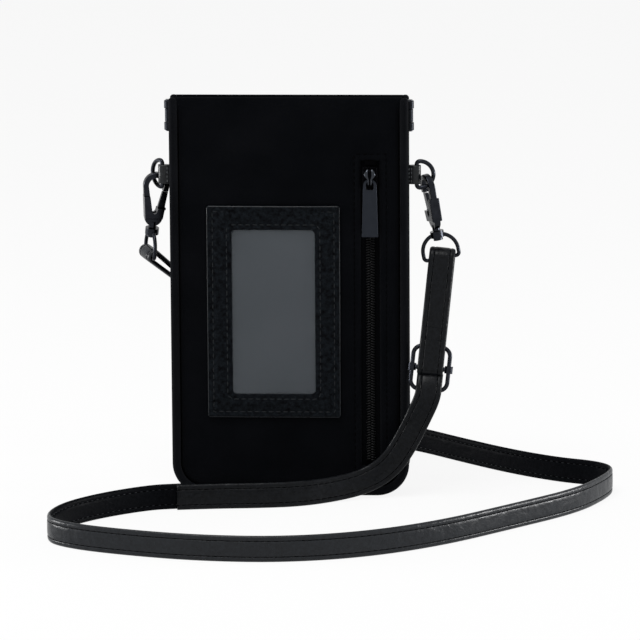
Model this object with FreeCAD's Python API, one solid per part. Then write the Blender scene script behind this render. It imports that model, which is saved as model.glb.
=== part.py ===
import FreeCAD, Part
import math
import os

from FreeCAD import Vector

# Phone pouch with a squeeze-open mouth and a clip-on shoulder strap. Sizes in millimetres.
# The origin is on the floor under the middle of the pouch. X runs to the pouch's right, Y to its back.
# The side with the window and the zip faces -Y. The pouch leans in towards its mouth on both faces.

# Pouch body, measured over the piping and over the outer faces of the panels
pouch_width = 110.4
pouch_height = 187.2
base_depth = 18.0
mouth_depth = 10.4
corner_radius = 15.0
piping_dia = 3.2
piping_rise = 0.2
floor_lift = 0.2
panel_wall = 1.0
padding_wall = 1.2
lining_wall = 0.6
layer_inset = 2.3
gusset_wall = 1.2
gusset_recess = 0.8
gusset_drop = 17.2
gusset_tuck = 1.0

# Mouth hem, which holds a spring blade on each side
hem_height = 16.2
hem_wall = 0.6
channel_gap = 1.2

# Squeeze frame: two spring blades joined by a hinge pin at each side
blade_wall = 0.45
blade_height = 13.8
blade_drop = 2.1
blade_bend = 49.5
flap_setback = 0.6
knuckle_dia = 4.0
knuckle_reach = 0.4
end_knuckle = 3.7
knuckle_gap = 0.1
knuckle_room = 0.6
hinge_pin_dia = 1.6
hinge_pin_clearance = 0.05
hinge_pin_head = 2.6
hinge_pin_head_height = 0.4

# Window pocket on the front: a leather frame over a clear film, open at the top for a card
window_centre_x = -7.3
window_bottom = 37.5
window_width = 61.6
window_height = 99.5
view_side_border = 11.6
view_end_border = 11.15
view_corner = 2.0
window_wall = 1.2
card_room = 0.9
film_wall = 0.3
film_overlap = 4.0
window_seam = 3.5
window_corner = 1.5

# Zip pocket on the front
zip_centre_x = 37.5
zip_bottom = 14.5
zip_drop = 29.2
zip_slot_width = 8.6
tape_width = 7.0
tape_wall = 0.5
tape_overrun = 4.0
tape_gap = 0.4
bag_wall = 0.55
bag_left = 42.0
bag_right = 7.0
coil_width = 2.1
coil_height = 1.3
tooth_pitch = 2.0
tooth_reach = 0.8
tooth_clearance = 0.12
stop_width = 5.0
stop_length = 2.0
stop_height = 1.8
slider_length = 10.0
slider_width = 7.0
slider_wall = 1.0
slider_clearance = 0.2
slider_top_gap = 0.6
bail_width = 2.4
bail_wall = 1.0
bail_length = 7.0
bail_rise = 3.6
pull_length = 27.0
pull_top_width = 6.2
pull_foot_width = 7.4
pull_wall = 1.4
pull_hole_width = 3.2
pull_hole_length = 5.2
pull_hole_margin = 1.5
pull_clearance = 0.5

# Side tabs and D-rings
ring_drop = 36.6
ring_bar_out = 3.6
ring_wire = 2.0
ring_bow_radius = 6.2
ring_corner_radius = 1.5
ring_bar_clearance = 0.06
tab_height = 8.8
tab_wall = 0.9

# Snap hooks: a teardrop body with a sprung gate on its inner side
hook_thickness = 2.9
hook_body_width = 4.8
hook_body_foot = 4.5
hook_body_head = 15.5
hook_top = 20.8
hook_top_outer = 6.1
hook_top_inner = 3.7
hook_foot = 5.0
hook_foot_outer = 4.2
hook_throat = 8.2
hook_throat_inner = 1.1
hook_rounding = 0.5
gate_thickness = 1.6
gate_side_clearance = 0.1
gate_tip = 17.6
gate_tip_clearance = 0.5
gate_pivot_x = -2.6
gate_pivot_z = 6.4
gate_eye_radius = 1.5
gate_nub_radius = 0.7
gate_nub_height = 9.2
gate_pin_dia = 1.1
gate_pin_clearance = 0.05
gate_slot_reach = 1.0
gate_slot_top = 9.6
leaf_wall = 0.3
leaf_width = 1.5
leaf_height = 3.0

# Swivel rings under the hooks
neck_dia = 3.6
post_dia = 2.8
post_clearance = 0.08
boss_dia = 6.4
boss_height = 3.0
boss_gap = 0.2
rivet_dia = 4.4
rivet_height = 1.1
swivel_wire = 1.8
swivel_width = 18.2
swivel_corner = 1.5
swivel_drop = 13.2

# How each hanging set lies: turn of the D-ring, of the hook and of the swivel ring about the
# vertical, measured from straight out of the pouch towards its back, and the hook's tilt away from it
contact_angle = 56.0
hook_contact_x = 0.0
hook_contact_z = 21.5
right_ring_turn = 0.0
right_hook_turn = -66.0
right_swivel_turn = 0.0
right_hook_tilt = 11.0
left_ring_turn = 50.0
left_hook_turn = -16.0
left_swivel_turn = 70.0
left_hook_tilt = 10.0

# Strap: flat leather, folded round the swivel rings and sewn
strap_width = 12.0
strap_wall = 2.2
ring_fold_radius = 2.8
bar_fold_clearance = 0.2
end_fold_length = 22.5
end_fold_top_radius = 3.0
end_fold_radius = 0.4
arc_share = 0.45
arc_step_deg = 12.0

# Strap slider: a wire frame with a bar across it, its ends curled round the frame's sides
slider_frame_width = 19.0
slider_frame_height = 22.0
slider_frame_wire = 2.0
slider_frame_corner = 4.0
slider_bar_dia = 2.2
slider_collar_dia = 3.8
slider_collar_height = 3.4
slider_collar_clearance = 0.05

# How the two strap ends hang: from the right ring's bar to the slider's, and the way the left fold points
loop_hang = Vector(-5.19, -11.0, -49.8)
left_fold_way = Vector(0.620, 0.461, -0.635)

# Strap routes along the middle of the strap, with the way its width points at each place.
# The front length runs from the slider down to the sewn join on the floor.
up = Vector(0, 0, 1)
front_route = [
    (Vector(64.9, -14.5, 58.0), Vector(-1, 0, 0.05)),
    (Vector(64.3, -16.6, 49.0), Vector(-0.97, 0, 0.25)),
    (Vector(59.3, -15.8, 38.5), Vector(-0.94, 0, 0.34)),
    (Vector(53.8, -14.4, 27.0), Vector(-0.85, 0, 0.53)),
    (Vector(46.5, -13.3, 15.5), Vector(-0.6, 0, 0.8)),
    (Vector(35.5, -14.2, 8.4), Vector(-0.25, 0, 0.97)),
    (Vector(21.5, -20.5, 6.1), up),
    (Vector(5.5, -29.8, 6.0), up),
    (Vector(-13.0, -33.2, 6.0), up),
    (Vector(-34.0, -33.4, 6.0), up),
    (Vector(-50.0, -36.0, 6.0), up),
]
# The back length runs from the join round the floor and up behind the pouch to the left fold.
back_route = [
    (Vector(-50.0, -36.0, 6.0), up),
    (Vector(-64.0, -38.275, 6.0), up),
    (Vector(-86.0, -54.5, 6.0), up),
    (Vector(-102.5, -74.0, 6.0), up),
    (Vector(-107.0, -96.0, 6.0), up),
    (Vector(-93.0, -109.0, 6.0), up),
    (Vector(-66.0, -120.0, 6.0), up),
    (Vector(-34.0, -128.5, 6.0), up),
    (Vector(2.0, -130.5, 6.0), up),
    (Vector(38.0, -121.0, 6.0), up),
    (Vector(72.0, -100.0, 6.0), up),
    (Vector(104.0, -68.5, 6.0), up),
    (Vector(133.0, -39.0, 6.0), up),
    (Vector(147.0, -14.0, 6.0), up),
    (Vector(152.0, 3.0, 6.0), up),
    (Vector(144.0, 13.5, 6.0), up),
    (Vector(124.0, 20.5, 6.0), up),
    (Vector(101.0, 37.0, 6.0), up),
    (Vector(77.0, 60.0, 6.0), up),
    (Vector(60.0, 77.5, 6.0), up),
    (Vector(46.0, 87.0, 6.3), up),
    (Vector(31.0, 89.0, 9.4), Vector(0.1, 0.0, 0.98)),
    (Vector(16.0, 82.0, 18.5), Vector(0.2, -0.1, 0.93)),
    (Vector(2.0, 70.0, 32.0), Vector(0.32, -0.28, 0.82)),
    (Vector(-11.0, 56.0, 48.0), Vector(0.42, -0.48, 0.6)),
    (Vector(-23.0, 41.5, 63.5), Vector(0.48, -0.66, 0.35)),
    (Vector(-35.0, 31.3, 76.8), Vector(0.5, -0.8, 0.12)),
    (Vector(-44.12, 24.55, 87.76), Vector(0.5, -0.866, 0.0)),
    (Vector(-50.19, 20.08, 95.21), Vector(0.5, -0.866, 0.0)),
]

# Places worked out from the sizes above
base_half = base_depth / 2
lean_deg = math.degrees(math.atan2((base_depth - mouth_depth) / 2, pouch_height))
edge_half = pouch_width / 2 - piping_dia / 2
edge_bottom = floor_lift + piping_dia / 2
edge_radius = corner_radius - piping_dia / 2
layer_depth = panel_wall + padding_wall
flap_depth = panel_wall + channel_gap
hem_foot = pouch_height - hem_height
gusset_top = pouch_height - gusset_drop
ring_height = pouch_height - ring_drop
ring_bar_reach = pouch_width / 2 + ring_bar_out
sides = {"right": 1, "left": -1}


def save(name, shape):
    """Write one node's solids."""
    shape.exportStep("parts/" + name + ".step")


def box(x0, x1, y0, y1, z0, z1):
    """A block between two opposite corners."""
    return Part.makeBox(x1 - x0, y1 - y0, z1 - z0, Vector(x0, y0, z0))


def u_face(half, bottom, radius, top):
    """The outline of a pouch layer in the XZ plane: square at the top, rounded at the bottom."""
    bend = radius * (1 - math.sqrt(0.5))
    left_foot, right_foot = Vector(-half, 0, bottom + radius), Vector(half, 0, bottom + radius)
    left_toe, right_toe = Vector(radius - half, 0, bottom), Vector(half - radius, 0, bottom)
    left_mid, right_mid = Vector(bend - half, 0, bottom + bend), Vector(half - bend, 0, bottom + bend)
    left_top, right_top = Vector(-half, 0, top), Vector(half, 0, top)
    return Part.Face(Part.Wire([
        Part.LineSegment(left_top, left_foot).toShape(),
        Part.Arc(left_foot, left_mid, left_toe).toShape(),
        Part.LineSegment(left_toe, right_toe).toShape(),
        Part.Arc(right_toe, right_mid, right_foot).toShape(),
        Part.LineSegment(right_foot, right_top).toShape(),
        Part.LineSegment(right_top, left_top).toShape(),
    ]))


def layer(inset, depth, wall, top):
    """A flat layer of the front, at a depth under its outer face, before the front leans."""
    face = u_face(edge_half - inset, edge_bottom + inset, edge_radius - inset, top)
    face.translate(Vector(0, depth - base_half, 0))
    return face.extrude(Vector(0, wall, 0))


def edges_along_y(block):
    """The four edges of a block that run front to back."""
    return [e for e in block.Edges if e.BoundBox.YLength > e.BoundBox.XLength + e.BoundBox.ZLength]


def lean(shape):
    """Tip a piece that was built on an upright front, so that the mouth is the narrower end."""
    shape.rotate(Vector(0, -base_half, 0), Vector(1, 0, 0), -lean_deg)
    return shape


def to_back(shape):
    """The same piece on the back of the pouch."""
    return shape.mirror(Vector(0, 0, 0), Vector(0, 1, 0))


def tube(edges, start, way, diameter):
    """A round wire along a path of lines and arcs that begins at a point in a given direction."""
    ring = Part.Wire(Part.makeCircle(diameter / 2, start, way))
    return Part.Wire(edges).makePipeShell([ring], True, False)


def belt_face(top_radius, foot_radius, length):
    """A band's outline in the YZ plane: round a circle at the origin and one a length below it."""
    slant = math.asin((top_radius - foot_radius) / length)
    side, drop = math.cos(slant), math.sin(slant)
    top_a = Vector(0, -top_radius * side, -top_radius * drop)
    top_b = Vector(0, top_radius * side, -top_radius * drop)
    foot_a = Vector(0, -foot_radius * side, -length - foot_radius * drop)
    foot_b = Vector(0, foot_radius * side, -length - foot_radius * drop)
    return Part.Face(Part.Wire([
        Part.Arc(top_a, Vector(0, 0, top_radius), top_b).toShape(),
        Part.LineSegment(top_b, foot_b).toShape(),
        Part.Arc(foot_b, Vector(0, 0, -length - foot_radius), foot_a).toShape(),
        Part.LineSegment(foot_a, top_a).toShape(),
    ]))


def place(shape, origin, across, upward):
    """Move a piece from its own axes to a place, with its X towards across and its Z upward."""
    z = Vector(upward).normalize()
    x = (across - z * across.dot(z)).normalize()
    y = z.cross(x)
    moved = shape.copy()
    moved.Placement = FreeCAD.Placement(FreeCAD.Matrix(
        x.x, y.x, z.x, origin.x, x.y, y.y, z.y, origin.y, x.z, y.z, z.z, origin.z, 0, 0, 0, 1))
    return moved


# Pouch: piping, panels with their mouth hems, gusset, padding and lining
def make_piping():
    half, foot = edge_half, edge_bottom + edge_radius
    bend = edge_radius * (1 - math.sqrt(0.5))
    y = panel_wall / 2 - base_half
    top = pouch_height + piping_rise
    left_top, left_foot = Vector(-half, y, top), Vector(-half, y, foot)
    left_toe = Vector(edge_radius - half, y, edge_bottom)
    right_toe = Vector(half - edge_radius, y, edge_bottom)
    right_foot, right_top = Vector(half, y, foot), Vector(half, y, top)
    path = [
        Part.LineSegment(left_top, left_foot).toShape(),
        Part.Arc(left_foot, Vector(bend - half, y, edge_bottom + bend), left_toe).toShape(),
        Part.LineSegment(left_toe, right_toe).toShape(),
        Part.Arc(right_toe, Vector(half - bend, y, edge_bottom + bend), right_foot).toShape(),
        Part.LineSegment(right_foot, right_top).toShape(),
    ]
    return tube(path, left_top, Vector(0, 0, -1), piping_dia)


def make_panel(piping):
    """A fabric panel, turned over at the mouth and down again to make the blade's channel."""
    skin = layer(0, 0, panel_wall, pouch_height)
    flap_half = blade_bend - flap_setback
    fold_y = panel_wall - base_half
    flap_y = flap_depth - base_half
    fold = box(-flap_half, flap_half, fold_y, flap_y + hem_wall, pouch_height - hem_wall, pouch_height)
    flap = box(-flap_half, flap_half, flap_y, flap_y + hem_wall, hem_foot, pouch_height)
    return skin.fuse([fold, flap]).removeSplitter().cut(piping)


def make_gusset(pipings):
    """The strip round the sides and the base that joins the two panels."""
    half = edge_half + gusset_recess
    radius = edge_radius + gusset_recess
    strip = u_face(half, 0, radius, gusset_top).cut(
        u_face(half - gusset_wall, gusset_wall, radius - gusset_wall, gusset_top))
    strip.translate(Vector(0, -base_depth, 0))
    strip = strip.extrude(Vector(0, 2 * base_depth, 0))
    foot = base_half - panel_wall / 2 - gusset_tuck
    head = foot - (base_depth - mouth_depth) / 2
    wedge = Part.Face(Part.makePolygon([
        Vector(-pouch_width, -foot, 0),
        Vector(-pouch_width, foot, 0),
        Vector(-pouch_width, head, pouch_height),
        Vector(-pouch_width, -head, pouch_height),
        Vector(-pouch_width, -foot, 0),
    ])).extrude(Vector(2 * pouch_width, 0, 0))
    return strip.common(wedge).cut(pipings)


# Zip: everything is built on the upright front, then leans with it
zip_left, zip_right = zip_centre_x - zip_slot_width / 2, zip_centre_x + zip_slot_width / 2
zip_top = pouch_height - zip_drop
front_y = -base_half
tape_y = front_y + panel_wall
coil_top_y = tape_y - coil_height
tape_foot, tape_head = zip_bottom - tape_overrun, zip_top + tape_overrun
bag_y = tape_y + tape_wall
bag_x0, bag_x1 = zip_centre_x - bag_left, zip_centre_x + bag_right + tape_gap


def make_zip_slot():
    return box(zip_left, zip_right, front_y - panel_wall, tape_y + panel_wall, zip_bottom, zip_top)


def make_zip_tape(side):
    near, far = zip_centre_x + side * tape_gap / 2, zip_centre_x + side * (tape_gap / 2 + tape_width)
    return box(min(near, far), max(near, far), tape_y, bag_y, tape_foot, tape_head)


def make_zip_bag():
    return box(bag_x0, bag_x1, bag_y, bag_y + bag_wall, tape_foot, tape_head)


def make_padding_cut():
    """Room in the front padding for the zip's tapes and bag."""
    return box(bag_x0, bag_x1, tape_y, tape_y + padding_wall, tape_foot, tape_head)


def make_coil(side):
    """One row of zip teeth: a spine with teeth that reach between those of the other row."""
    foot, head = zip_bottom + stop_length, zip_top - stop_length
    half_gap = tooth_reach / 2
    spine_near, spine_far = zip_centre_x + side * half_gap, zip_centre_x + side * coil_width
    tip = zip_centre_x - side * half_gap + side * tooth_clearance
    spine = box(min(spine_near, spine_far), max(spine_near, spine_far), coil_top_y, tape_y, foot, head)
    tooth_height = tooth_pitch / 2 - tooth_clearance
    shift = tooth_pitch / 2 if side < 0 else 0
    teeth = []
    for i in range(int((head - foot - shift) / tooth_pitch)):
        z = foot + shift + i * tooth_pitch
        teeth.append(box(min(spine_near, tip), max(spine_near, tip), coil_top_y, tape_y, z, z + tooth_height))
    return spine.fuse(teeth).removeSplitter()


def make_zip_stop(z):
    half = stop_width / 2
    return box(zip_centre_x - half, zip_centre_x + half, tape_y - stop_height, tape_y, z, z + stop_length)


slider_top = zip_top - stop_length - slider_top_gap
slider_foot = slider_top - slider_length
slider_under_y = coil_top_y - slider_clearance
slider_face_y = slider_under_y - slider_wall
bail_top = slider_top - (slider_length - bail_length) / 2
bail_foot = bail_top - bail_length
pull_pivot_z = bail_foot + bail_wall + pull_clearance + pull_hole_margin / 2
pull_pivot_y = slider_face_y - pull_wall / 2 - pull_clearance


def make_zip_slider():
    """The slider's shell over the teeth, with lips beside them and a bail for the pull."""
    half = slider_width / 2
    lip = coil_width + slider_clearance
    left, right = zip_centre_x - half, zip_centre_x + half
    plate = box(left, right, slider_face_y, slider_under_y, slider_foot, slider_top)
    plate = plate.makeFillet(slider_wall, edges_along_y(plate))
    parts = []
    for side in sides.values():
        near, far = zip_centre_x + side * lip, zip_centre_x + side * half
        parts.append(box(min(near, far), max(near, far), slider_under_y, tape_y - slider_clearance,
                         slider_foot + slider_wall, slider_top - slider_wall))
    bail_half = bail_width / 2
    bail = box(zip_centre_x - bail_half, zip_centre_x + bail_half, slider_face_y - bail_rise, slider_face_y,
               bail_foot, bail_top)
    outer = [e for e in bail.Edges if e.BoundBox.YMax < slider_face_y - bail_wall]
    crests = [e for e in outer if e.BoundBox.XLength > bail_half]
    bail = bail.makeFillet(bail_wall, crests)
    eye = box(zip_centre_x - bail_width, zip_centre_x + bail_width, slider_face_y - bail_rise + bail_wall,
              slider_face_y, bail_foot + bail_wall, bail_top - bail_wall)
    return plate.fuse(parts + [bail.cut(eye)]).removeSplitter()


def make_zip_pull():
    """The pull tab, hanging from the bail through a hole near its round top."""
    top_z = pull_pivot_z + pull_hole_margin / 2
    foot_z = top_z - pull_length
    top_half, foot_half = pull_top_width / 2, pull_foot_width / 2
    y0 = pull_pivot_y - pull_wall / 2
    shoulder = top_z - top_half
    outline = Part.Wire([
        Part.LineSegment(Vector(zip_centre_x - foot_half, y0, foot_z),
                         Vector(zip_centre_x - top_half, y0, shoulder)).toShape(),
        Part.Arc(Vector(zip_centre_x - top_half, y0, shoulder), Vector(zip_centre_x, y0, top_z),
                 Vector(zip_centre_x + top_half, y0, shoulder)).toShape(),
        Part.LineSegment(Vector(zip_centre_x + top_half, y0, shoulder),
                         Vector(zip_centre_x + foot_half, y0, foot_z)).toShape(),
        Part.LineSegment(Vector(zip_centre_x + foot_half, y0, foot_z),
                         Vector(zip_centre_x - foot_half, y0, foot_z)).toShape(),
    ])
    tab = Part.Face(outline).extrude(Vector(0, pull_wall, 0))
    hole_half = pull_hole_width / 2
    hole_top = top_z - pull_hole_margin
    return tab.cut(box(zip_centre_x - hole_half, zip_centre_x + hole_half, y0 - pull_wall, y0 + 2 * pull_wall,
                       hole_top - pull_hole_length, hole_top))


# Window pocket
window_top = window_bottom + window_height
view_half = window_width / 2 - view_side_border
view_foot = window_bottom + view_end_border
view_top = window_top - view_end_border


def window_block(half, bottom, top, depth, wall, radius):
    """A block on the front with rounded corners, from a height over its face outwards."""
    y = front_y - depth - wall
    block = box(window_centre_x - half, window_centre_x + half, y, y + wall, bottom, top)
    return block.makeFillet(radius, edges_along_y(block))


def make_window_frame():
    """Leather frame, sewn down on three sides, with room for a card under it."""
    film_room = card_room + film_wall
    half = window_width / 2
    frame = window_block(half, window_bottom, window_top, 0, film_room + window_wall, window_corner)
    room = box(window_centre_x - half + window_seam, window_centre_x + half - window_seam,
               front_y - film_room, front_y, window_bottom + window_seam, window_top)
    view = window_block(view_half, view_foot, view_top, film_room - window_wall, 3 * window_wall, view_corner)
    return frame.cut(room).cut(view)


def make_window_film():
    foot, head = view_foot - film_overlap, view_top + film_overlap
    return window_block(view_half + film_overlap, foot, head, card_room, film_wall, view_corner)


# Squeeze frame
knuckle_x = pouch_width / 2 + knuckle_reach
blade_top = pouch_height - blade_drop
blade_foot = blade_top - blade_height
blade_mid = (blade_top + blade_foot) / 2
blade_y = (panel_wall + channel_gap / 2) - (base_half - blade_mid * math.tan(math.radians(lean_deg)))


def make_blade(front):
    """A spring blade with a knuckle at each end: the front one has the outer pair of each hinge."""
    face_y, rear_y = blade_y - blade_wall / 2, blade_y + blade_wall / 2
    flat = box(-blade_bend, blade_bend, face_y, rear_y, blade_foot, blade_top)
    parts, holes = [], []
    arm_length = math.hypot(knuckle_x - blade_bend, blade_y)
    arm_angle = math.degrees(math.atan2(-blade_y, knuckle_x - blade_bend))
    for side in sides.values():
        arm = box(0, arm_length, -blade_wall / 2, blade_wall / 2, blade_foot, blade_top)
        arm.rotate(Vector(0, 0, 0), up, arm_angle)
        arm.translate(Vector(blade_bend, blade_y, 0))
        if side < 0:
            arm = arm.mirror(Vector(0, 0, 0), Vector(1, 0, 0))
        centre = Vector(side * knuckle_x, 0, blade_foot)
        parts += [arm, Part.makeCylinder(knuckle_dia / 2, blade_height, centre)]
        bore = hinge_pin_dia / 2 + hinge_pin_clearance
        holes.append(Part.makeCylinder(bore, blade_height, centre))
        room = knuckle_dia / 2 + knuckle_room
        low, high = blade_foot + end_knuckle, blade_top - end_knuckle
        spans = [(low, high)] if front else [(blade_foot, low + knuckle_gap), (high - knuckle_gap, blade_top)]
        for z0, z1 in spans:
            x = side * knuckle_x
            holes.append(box(x - room, x + room, -room, room, z0, z1))
    blade = flat.fuse(parts).removeSplitter().cut(holes)
    return blade if front else to_back(blade)


def make_hinge_pin(side):
    foot, head = blade_foot - hinge_pin_clearance, blade_top + hinge_pin_clearance
    pin = Part.makeCylinder(hinge_pin_dia / 2, head - foot, Vector(side * knuckle_x, 0, foot))
    heads = []
    for z in (foot - hinge_pin_head_height, head):
        centre = Vector(side * knuckle_x, 0, z)
        heads.append(Part.makeCylinder(hinge_pin_head / 2, hinge_pin_head_height, centre))
    return pin.fuse(heads).removeSplitter()


# Side tabs and the sets that hang from them. A set is built with the D-ring's bar upright at the
# origin and X straight out of the pouch; the left set is the mirror image of that.
def to_side(shape, side):
    moved = shape.copy()
    if side < 0:
        moved = moved.mirror(Vector(0, 0, 0), Vector(1, 0, 0))
    moved.translate(Vector(side * ring_bar_reach, 0, ring_height))
    return moved


def make_tab():
    """A leather tab, sewn into the side seam and folded round the D-ring's bar."""
    bore = ring_wire / 2 + ring_bar_clearance
    half = bore + tab_wall
    seam = edge_half + gusset_recess - ring_bar_reach
    body = box(seam, 0, -half, half, -tab_height / 2, tab_height / 2)
    low = Vector(0, 0, -tab_height / 2)
    fold = Part.makeCylinder(half, tab_height, low)
    return body.fuse(fold).removeSplitter().cut(Part.makeCylinder(bore, tab_height, low))


def make_d_ring(turn):
    r, c = ring_bow_radius, ring_corner_radius
    bar_half = r - c
    nick = c * (1 - math.sqrt(0.5))
    path = [
        Part.LineSegment(Vector(0, 0, -bar_half), Vector(0, 0, bar_half)).toShape(),
        Part.Arc(Vector(0, 0, bar_half), Vector(nick, 0, r - nick), Vector(c, 0, r)).toShape(),
        Part.Arc(Vector(c, 0, r), Vector(c + r, 0, 0), Vector(c, 0, -r)).toShape(),
        Part.Arc(Vector(c, 0, -r), Vector(nick, 0, nick - r), Vector(0, 0, -bar_half)).toShape(),
    ]
    ring = tube(path, Vector(0, 0, -bar_half), up, ring_wire)
    ring.rotate(Vector(0, 0, 0), up, turn)
    return ring


def hook_belt(top_radius, foot_radius, foot, wall):
    """A teardrop plate in the hook's own plane, round its top centre and a lower centre."""
    face = belt_face(top_radius, foot_radius, hook_top - foot)
    face.rotate(Vector(0, 0, 0), up, -90)
    face.translate(Vector(0, -wall / 2, hook_top))
    return face.extrude(Vector(0, wall, 0))


def gate_cylinder(radius, wall):
    return Part.makeCylinder(radius, wall, Vector(gate_pivot_x, -wall / 2, gate_pivot_z), Vector(0, 1, 0))


def round_rims(plate, wall):
    """Round the edges of a plate's two faces."""
    rims = [e for e in plate.Edges if abs(abs(e.CenterOfMass.y) - wall / 2) < hook_rounding / 2]
    return plate.makeFillet(hook_rounding, rims)


def make_hook_body():
    """Teardrop body, wider below its top: gate window, slot for the gate's eye, and the swivel post."""
    reach = 2 * hook_top_outer
    plate = round_rims(hook_belt(hook_top_outer, hook_foot_outer, hook_foot, hook_thickness), hook_thickness)
    wide = hook_belt(hook_top_outer, hook_foot_outer, hook_foot, hook_body_width)
    wide = wide.common(box(-reach, reach, -reach, reach, hook_body_foot, hook_body_head))
    plate = plate.fuse(round_rims(wide, hook_body_width))
    eye = hook_belt(hook_top_inner, hook_throat_inner, hook_throat, 2 * hook_thickness)
    window = box(-reach, 0, -hook_thickness, hook_thickness, gate_slot_top, gate_tip + gate_tip_clearance)
    slot_half = gate_thickness / 2 + gate_side_clearance
    slot_foot = gate_pivot_z - gate_eye_radius - gate_side_clearance
    slot = box(-reach, gate_slot_reach, -slot_half, slot_half, slot_foot, gate_slot_top)
    body = plate.cut([eye, window, slot, gate_cylinder(gate_pin_dia / 2, 2 * hook_thickness)])
    neck_top = hook_foot - hook_foot_outer / 2
    neck = Part.makeCylinder(neck_dia / 2, neck_top, Vector(0, 0, 0))
    post_length = boss_gap + boss_height + boss_gap
    post = Part.makeCylinder(post_dia / 2, post_length, Vector(0, 0, -post_length))
    rivet = Part.makeCylinder(rivet_dia / 2, rivet_height, Vector(0, 0, -post_length - rivet_height))
    return body.fuse([neck, post, rivet]).removeSplitter()


def make_hook_gate():
    wall = hook_belt(hook_top_outer, hook_foot_outer, hook_foot, gate_thickness).cut(
        hook_belt(hook_top_inner, hook_throat_inner, hook_throat, 2 * hook_thickness))
    reach = 2 * hook_top_outer
    arm = wall.common(box(-reach, gate_pivot_x + gate_eye_radius, -reach, reach, gate_pivot_z, gate_tip))
    nub_x = gate_pivot_x - gate_eye_radius - gate_nub_radius
    nub_place = Vector(nub_x, -gate_thickness / 2, gate_nub_height)
    nub = Part.makeCylinder(gate_nub_radius, gate_thickness, nub_place, Vector(0, 1, 0))
    gate = arm.fuse([gate_cylinder(gate_eye_radius, gate_thickness), nub]).removeSplitter()
    return gate.cut(gate_cylinder(gate_pin_dia / 2 + gate_pin_clearance, 2 * gate_thickness))


def make_gate_spring():
    """A leaf on the inner wall of the gate's slot."""
    foot = gate_pivot_z - gate_eye_radius
    half = leaf_width / 2
    return box(gate_slot_reach - leaf_wall, gate_slot_reach, -half, half, foot, foot + leaf_height)


def make_swivel_ring():
    """A D-shaped wire ring with a boss at its top that turns on the hook's post."""
    r, c = swivel_width / 2 - swivel_wire / 2, swivel_corner
    crown = -boss_gap - boss_height / 2
    centre, foot = crown - r, -swivel_drop
    nick = c * (1 - math.sqrt(0.5))
    path = [
        Part.LineSegment(Vector(c - r, 0, foot), Vector(r - c, 0, foot)).toShape(),
        Part.Arc(Vector(r - c, 0, foot), Vector(r - nick, 0, foot + nick), Vector(r, 0, foot + c)).toShape(),
        Part.LineSegment(Vector(r, 0, foot + c), Vector(r, 0, centre)).toShape(),
        Part.Arc(Vector(r, 0, centre), Vector(0, 0, crown), Vector(-r, 0, centre)).toShape(),
        Part.LineSegment(Vector(-r, 0, centre), Vector(-r, 0, foot + c)).toShape(),
        Part.Arc(Vector(-r, 0, foot + c), Vector(nick - r, 0, foot + nick), Vector(c - r, 0, foot)).toShape(),
    ]
    wire = tube(path, Vector(c - r, 0, foot), Vector(1, 0, 0), swivel_wire)
    low = Vector(0, 0, -boss_gap - boss_height)
    boss = Part.makeCylinder(boss_dia / 2, boss_height, low)
    bore = Part.makeCylinder(post_dia / 2 + post_clearance, boss_height, low)
    return wire.fuse(boss).removeSplitter().cut(bore)


def fold_band(top_radius, foot_radius, length):
    """A strap end folded round a ring's bar at the origin, closing to another radius below it."""
    band = belt_face(top_radius + strap_wall, foot_radius + strap_wall, length).cut(
        belt_face(top_radius, foot_radius, length))
    band.translate(Vector(-strap_width / 2, 0, 0))
    return band.extrude(Vector(strap_width, 0, 0))


def make_slider_frame():
    """A round-cornered wire frame about the bar at the origin."""
    w, h = (slider_frame_width - slider_frame_wire) / 2, (slider_frame_height - slider_frame_wire) / 2
    c = slider_frame_corner
    nick = c * (1 - math.sqrt(0.5))
    path = []
    for sx, sz in ((1, 1), (-1, 1), (-1, -1), (1, -1)):
        side_end, top_end = Vector(sx * w, 0, sz * (h - c)), Vector(sx * (w - c), 0, sz * h)
        corner = Vector(sx * (w - nick), 0, sz * (h - nick))
        first, last = (side_end, top_end) if sx * sz > 0 else (top_end, side_end)
        path.append((first, corner, last))
    edges = []
    for i, (first, corner, last) in enumerate(path):
        edges.append(Part.LineSegment(path[i - 1][2], first).toShape())
        edges.append(Part.Arc(first, corner, last).toShape())
    return tube(edges, path[-1][2], up, slider_frame_wire)


def make_slider_bar():
    """The bar, with a collar at each end that curls round the frame's side."""
    x = (slider_frame_width - slider_frame_wire) / 2
    bar = Part.makeCylinder(slider_bar_dia / 2, 2 * x, Vector(-x, 0, 0), Vector(1, 0, 0))
    collars, holes = [], []
    for side in sides.values():
        low = Vector(side * x, 0, -slider_collar_height / 2)
        collars.append(Part.makeCylinder(slider_collar_dia / 2, slider_collar_height, low))
        bore = slider_frame_wire / 2 + slider_collar_clearance
        holes.append(Part.makeCylinder(bore, slider_collar_height, low))
    return bar.fuse(collars).removeSplitter().cut(holes)


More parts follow.
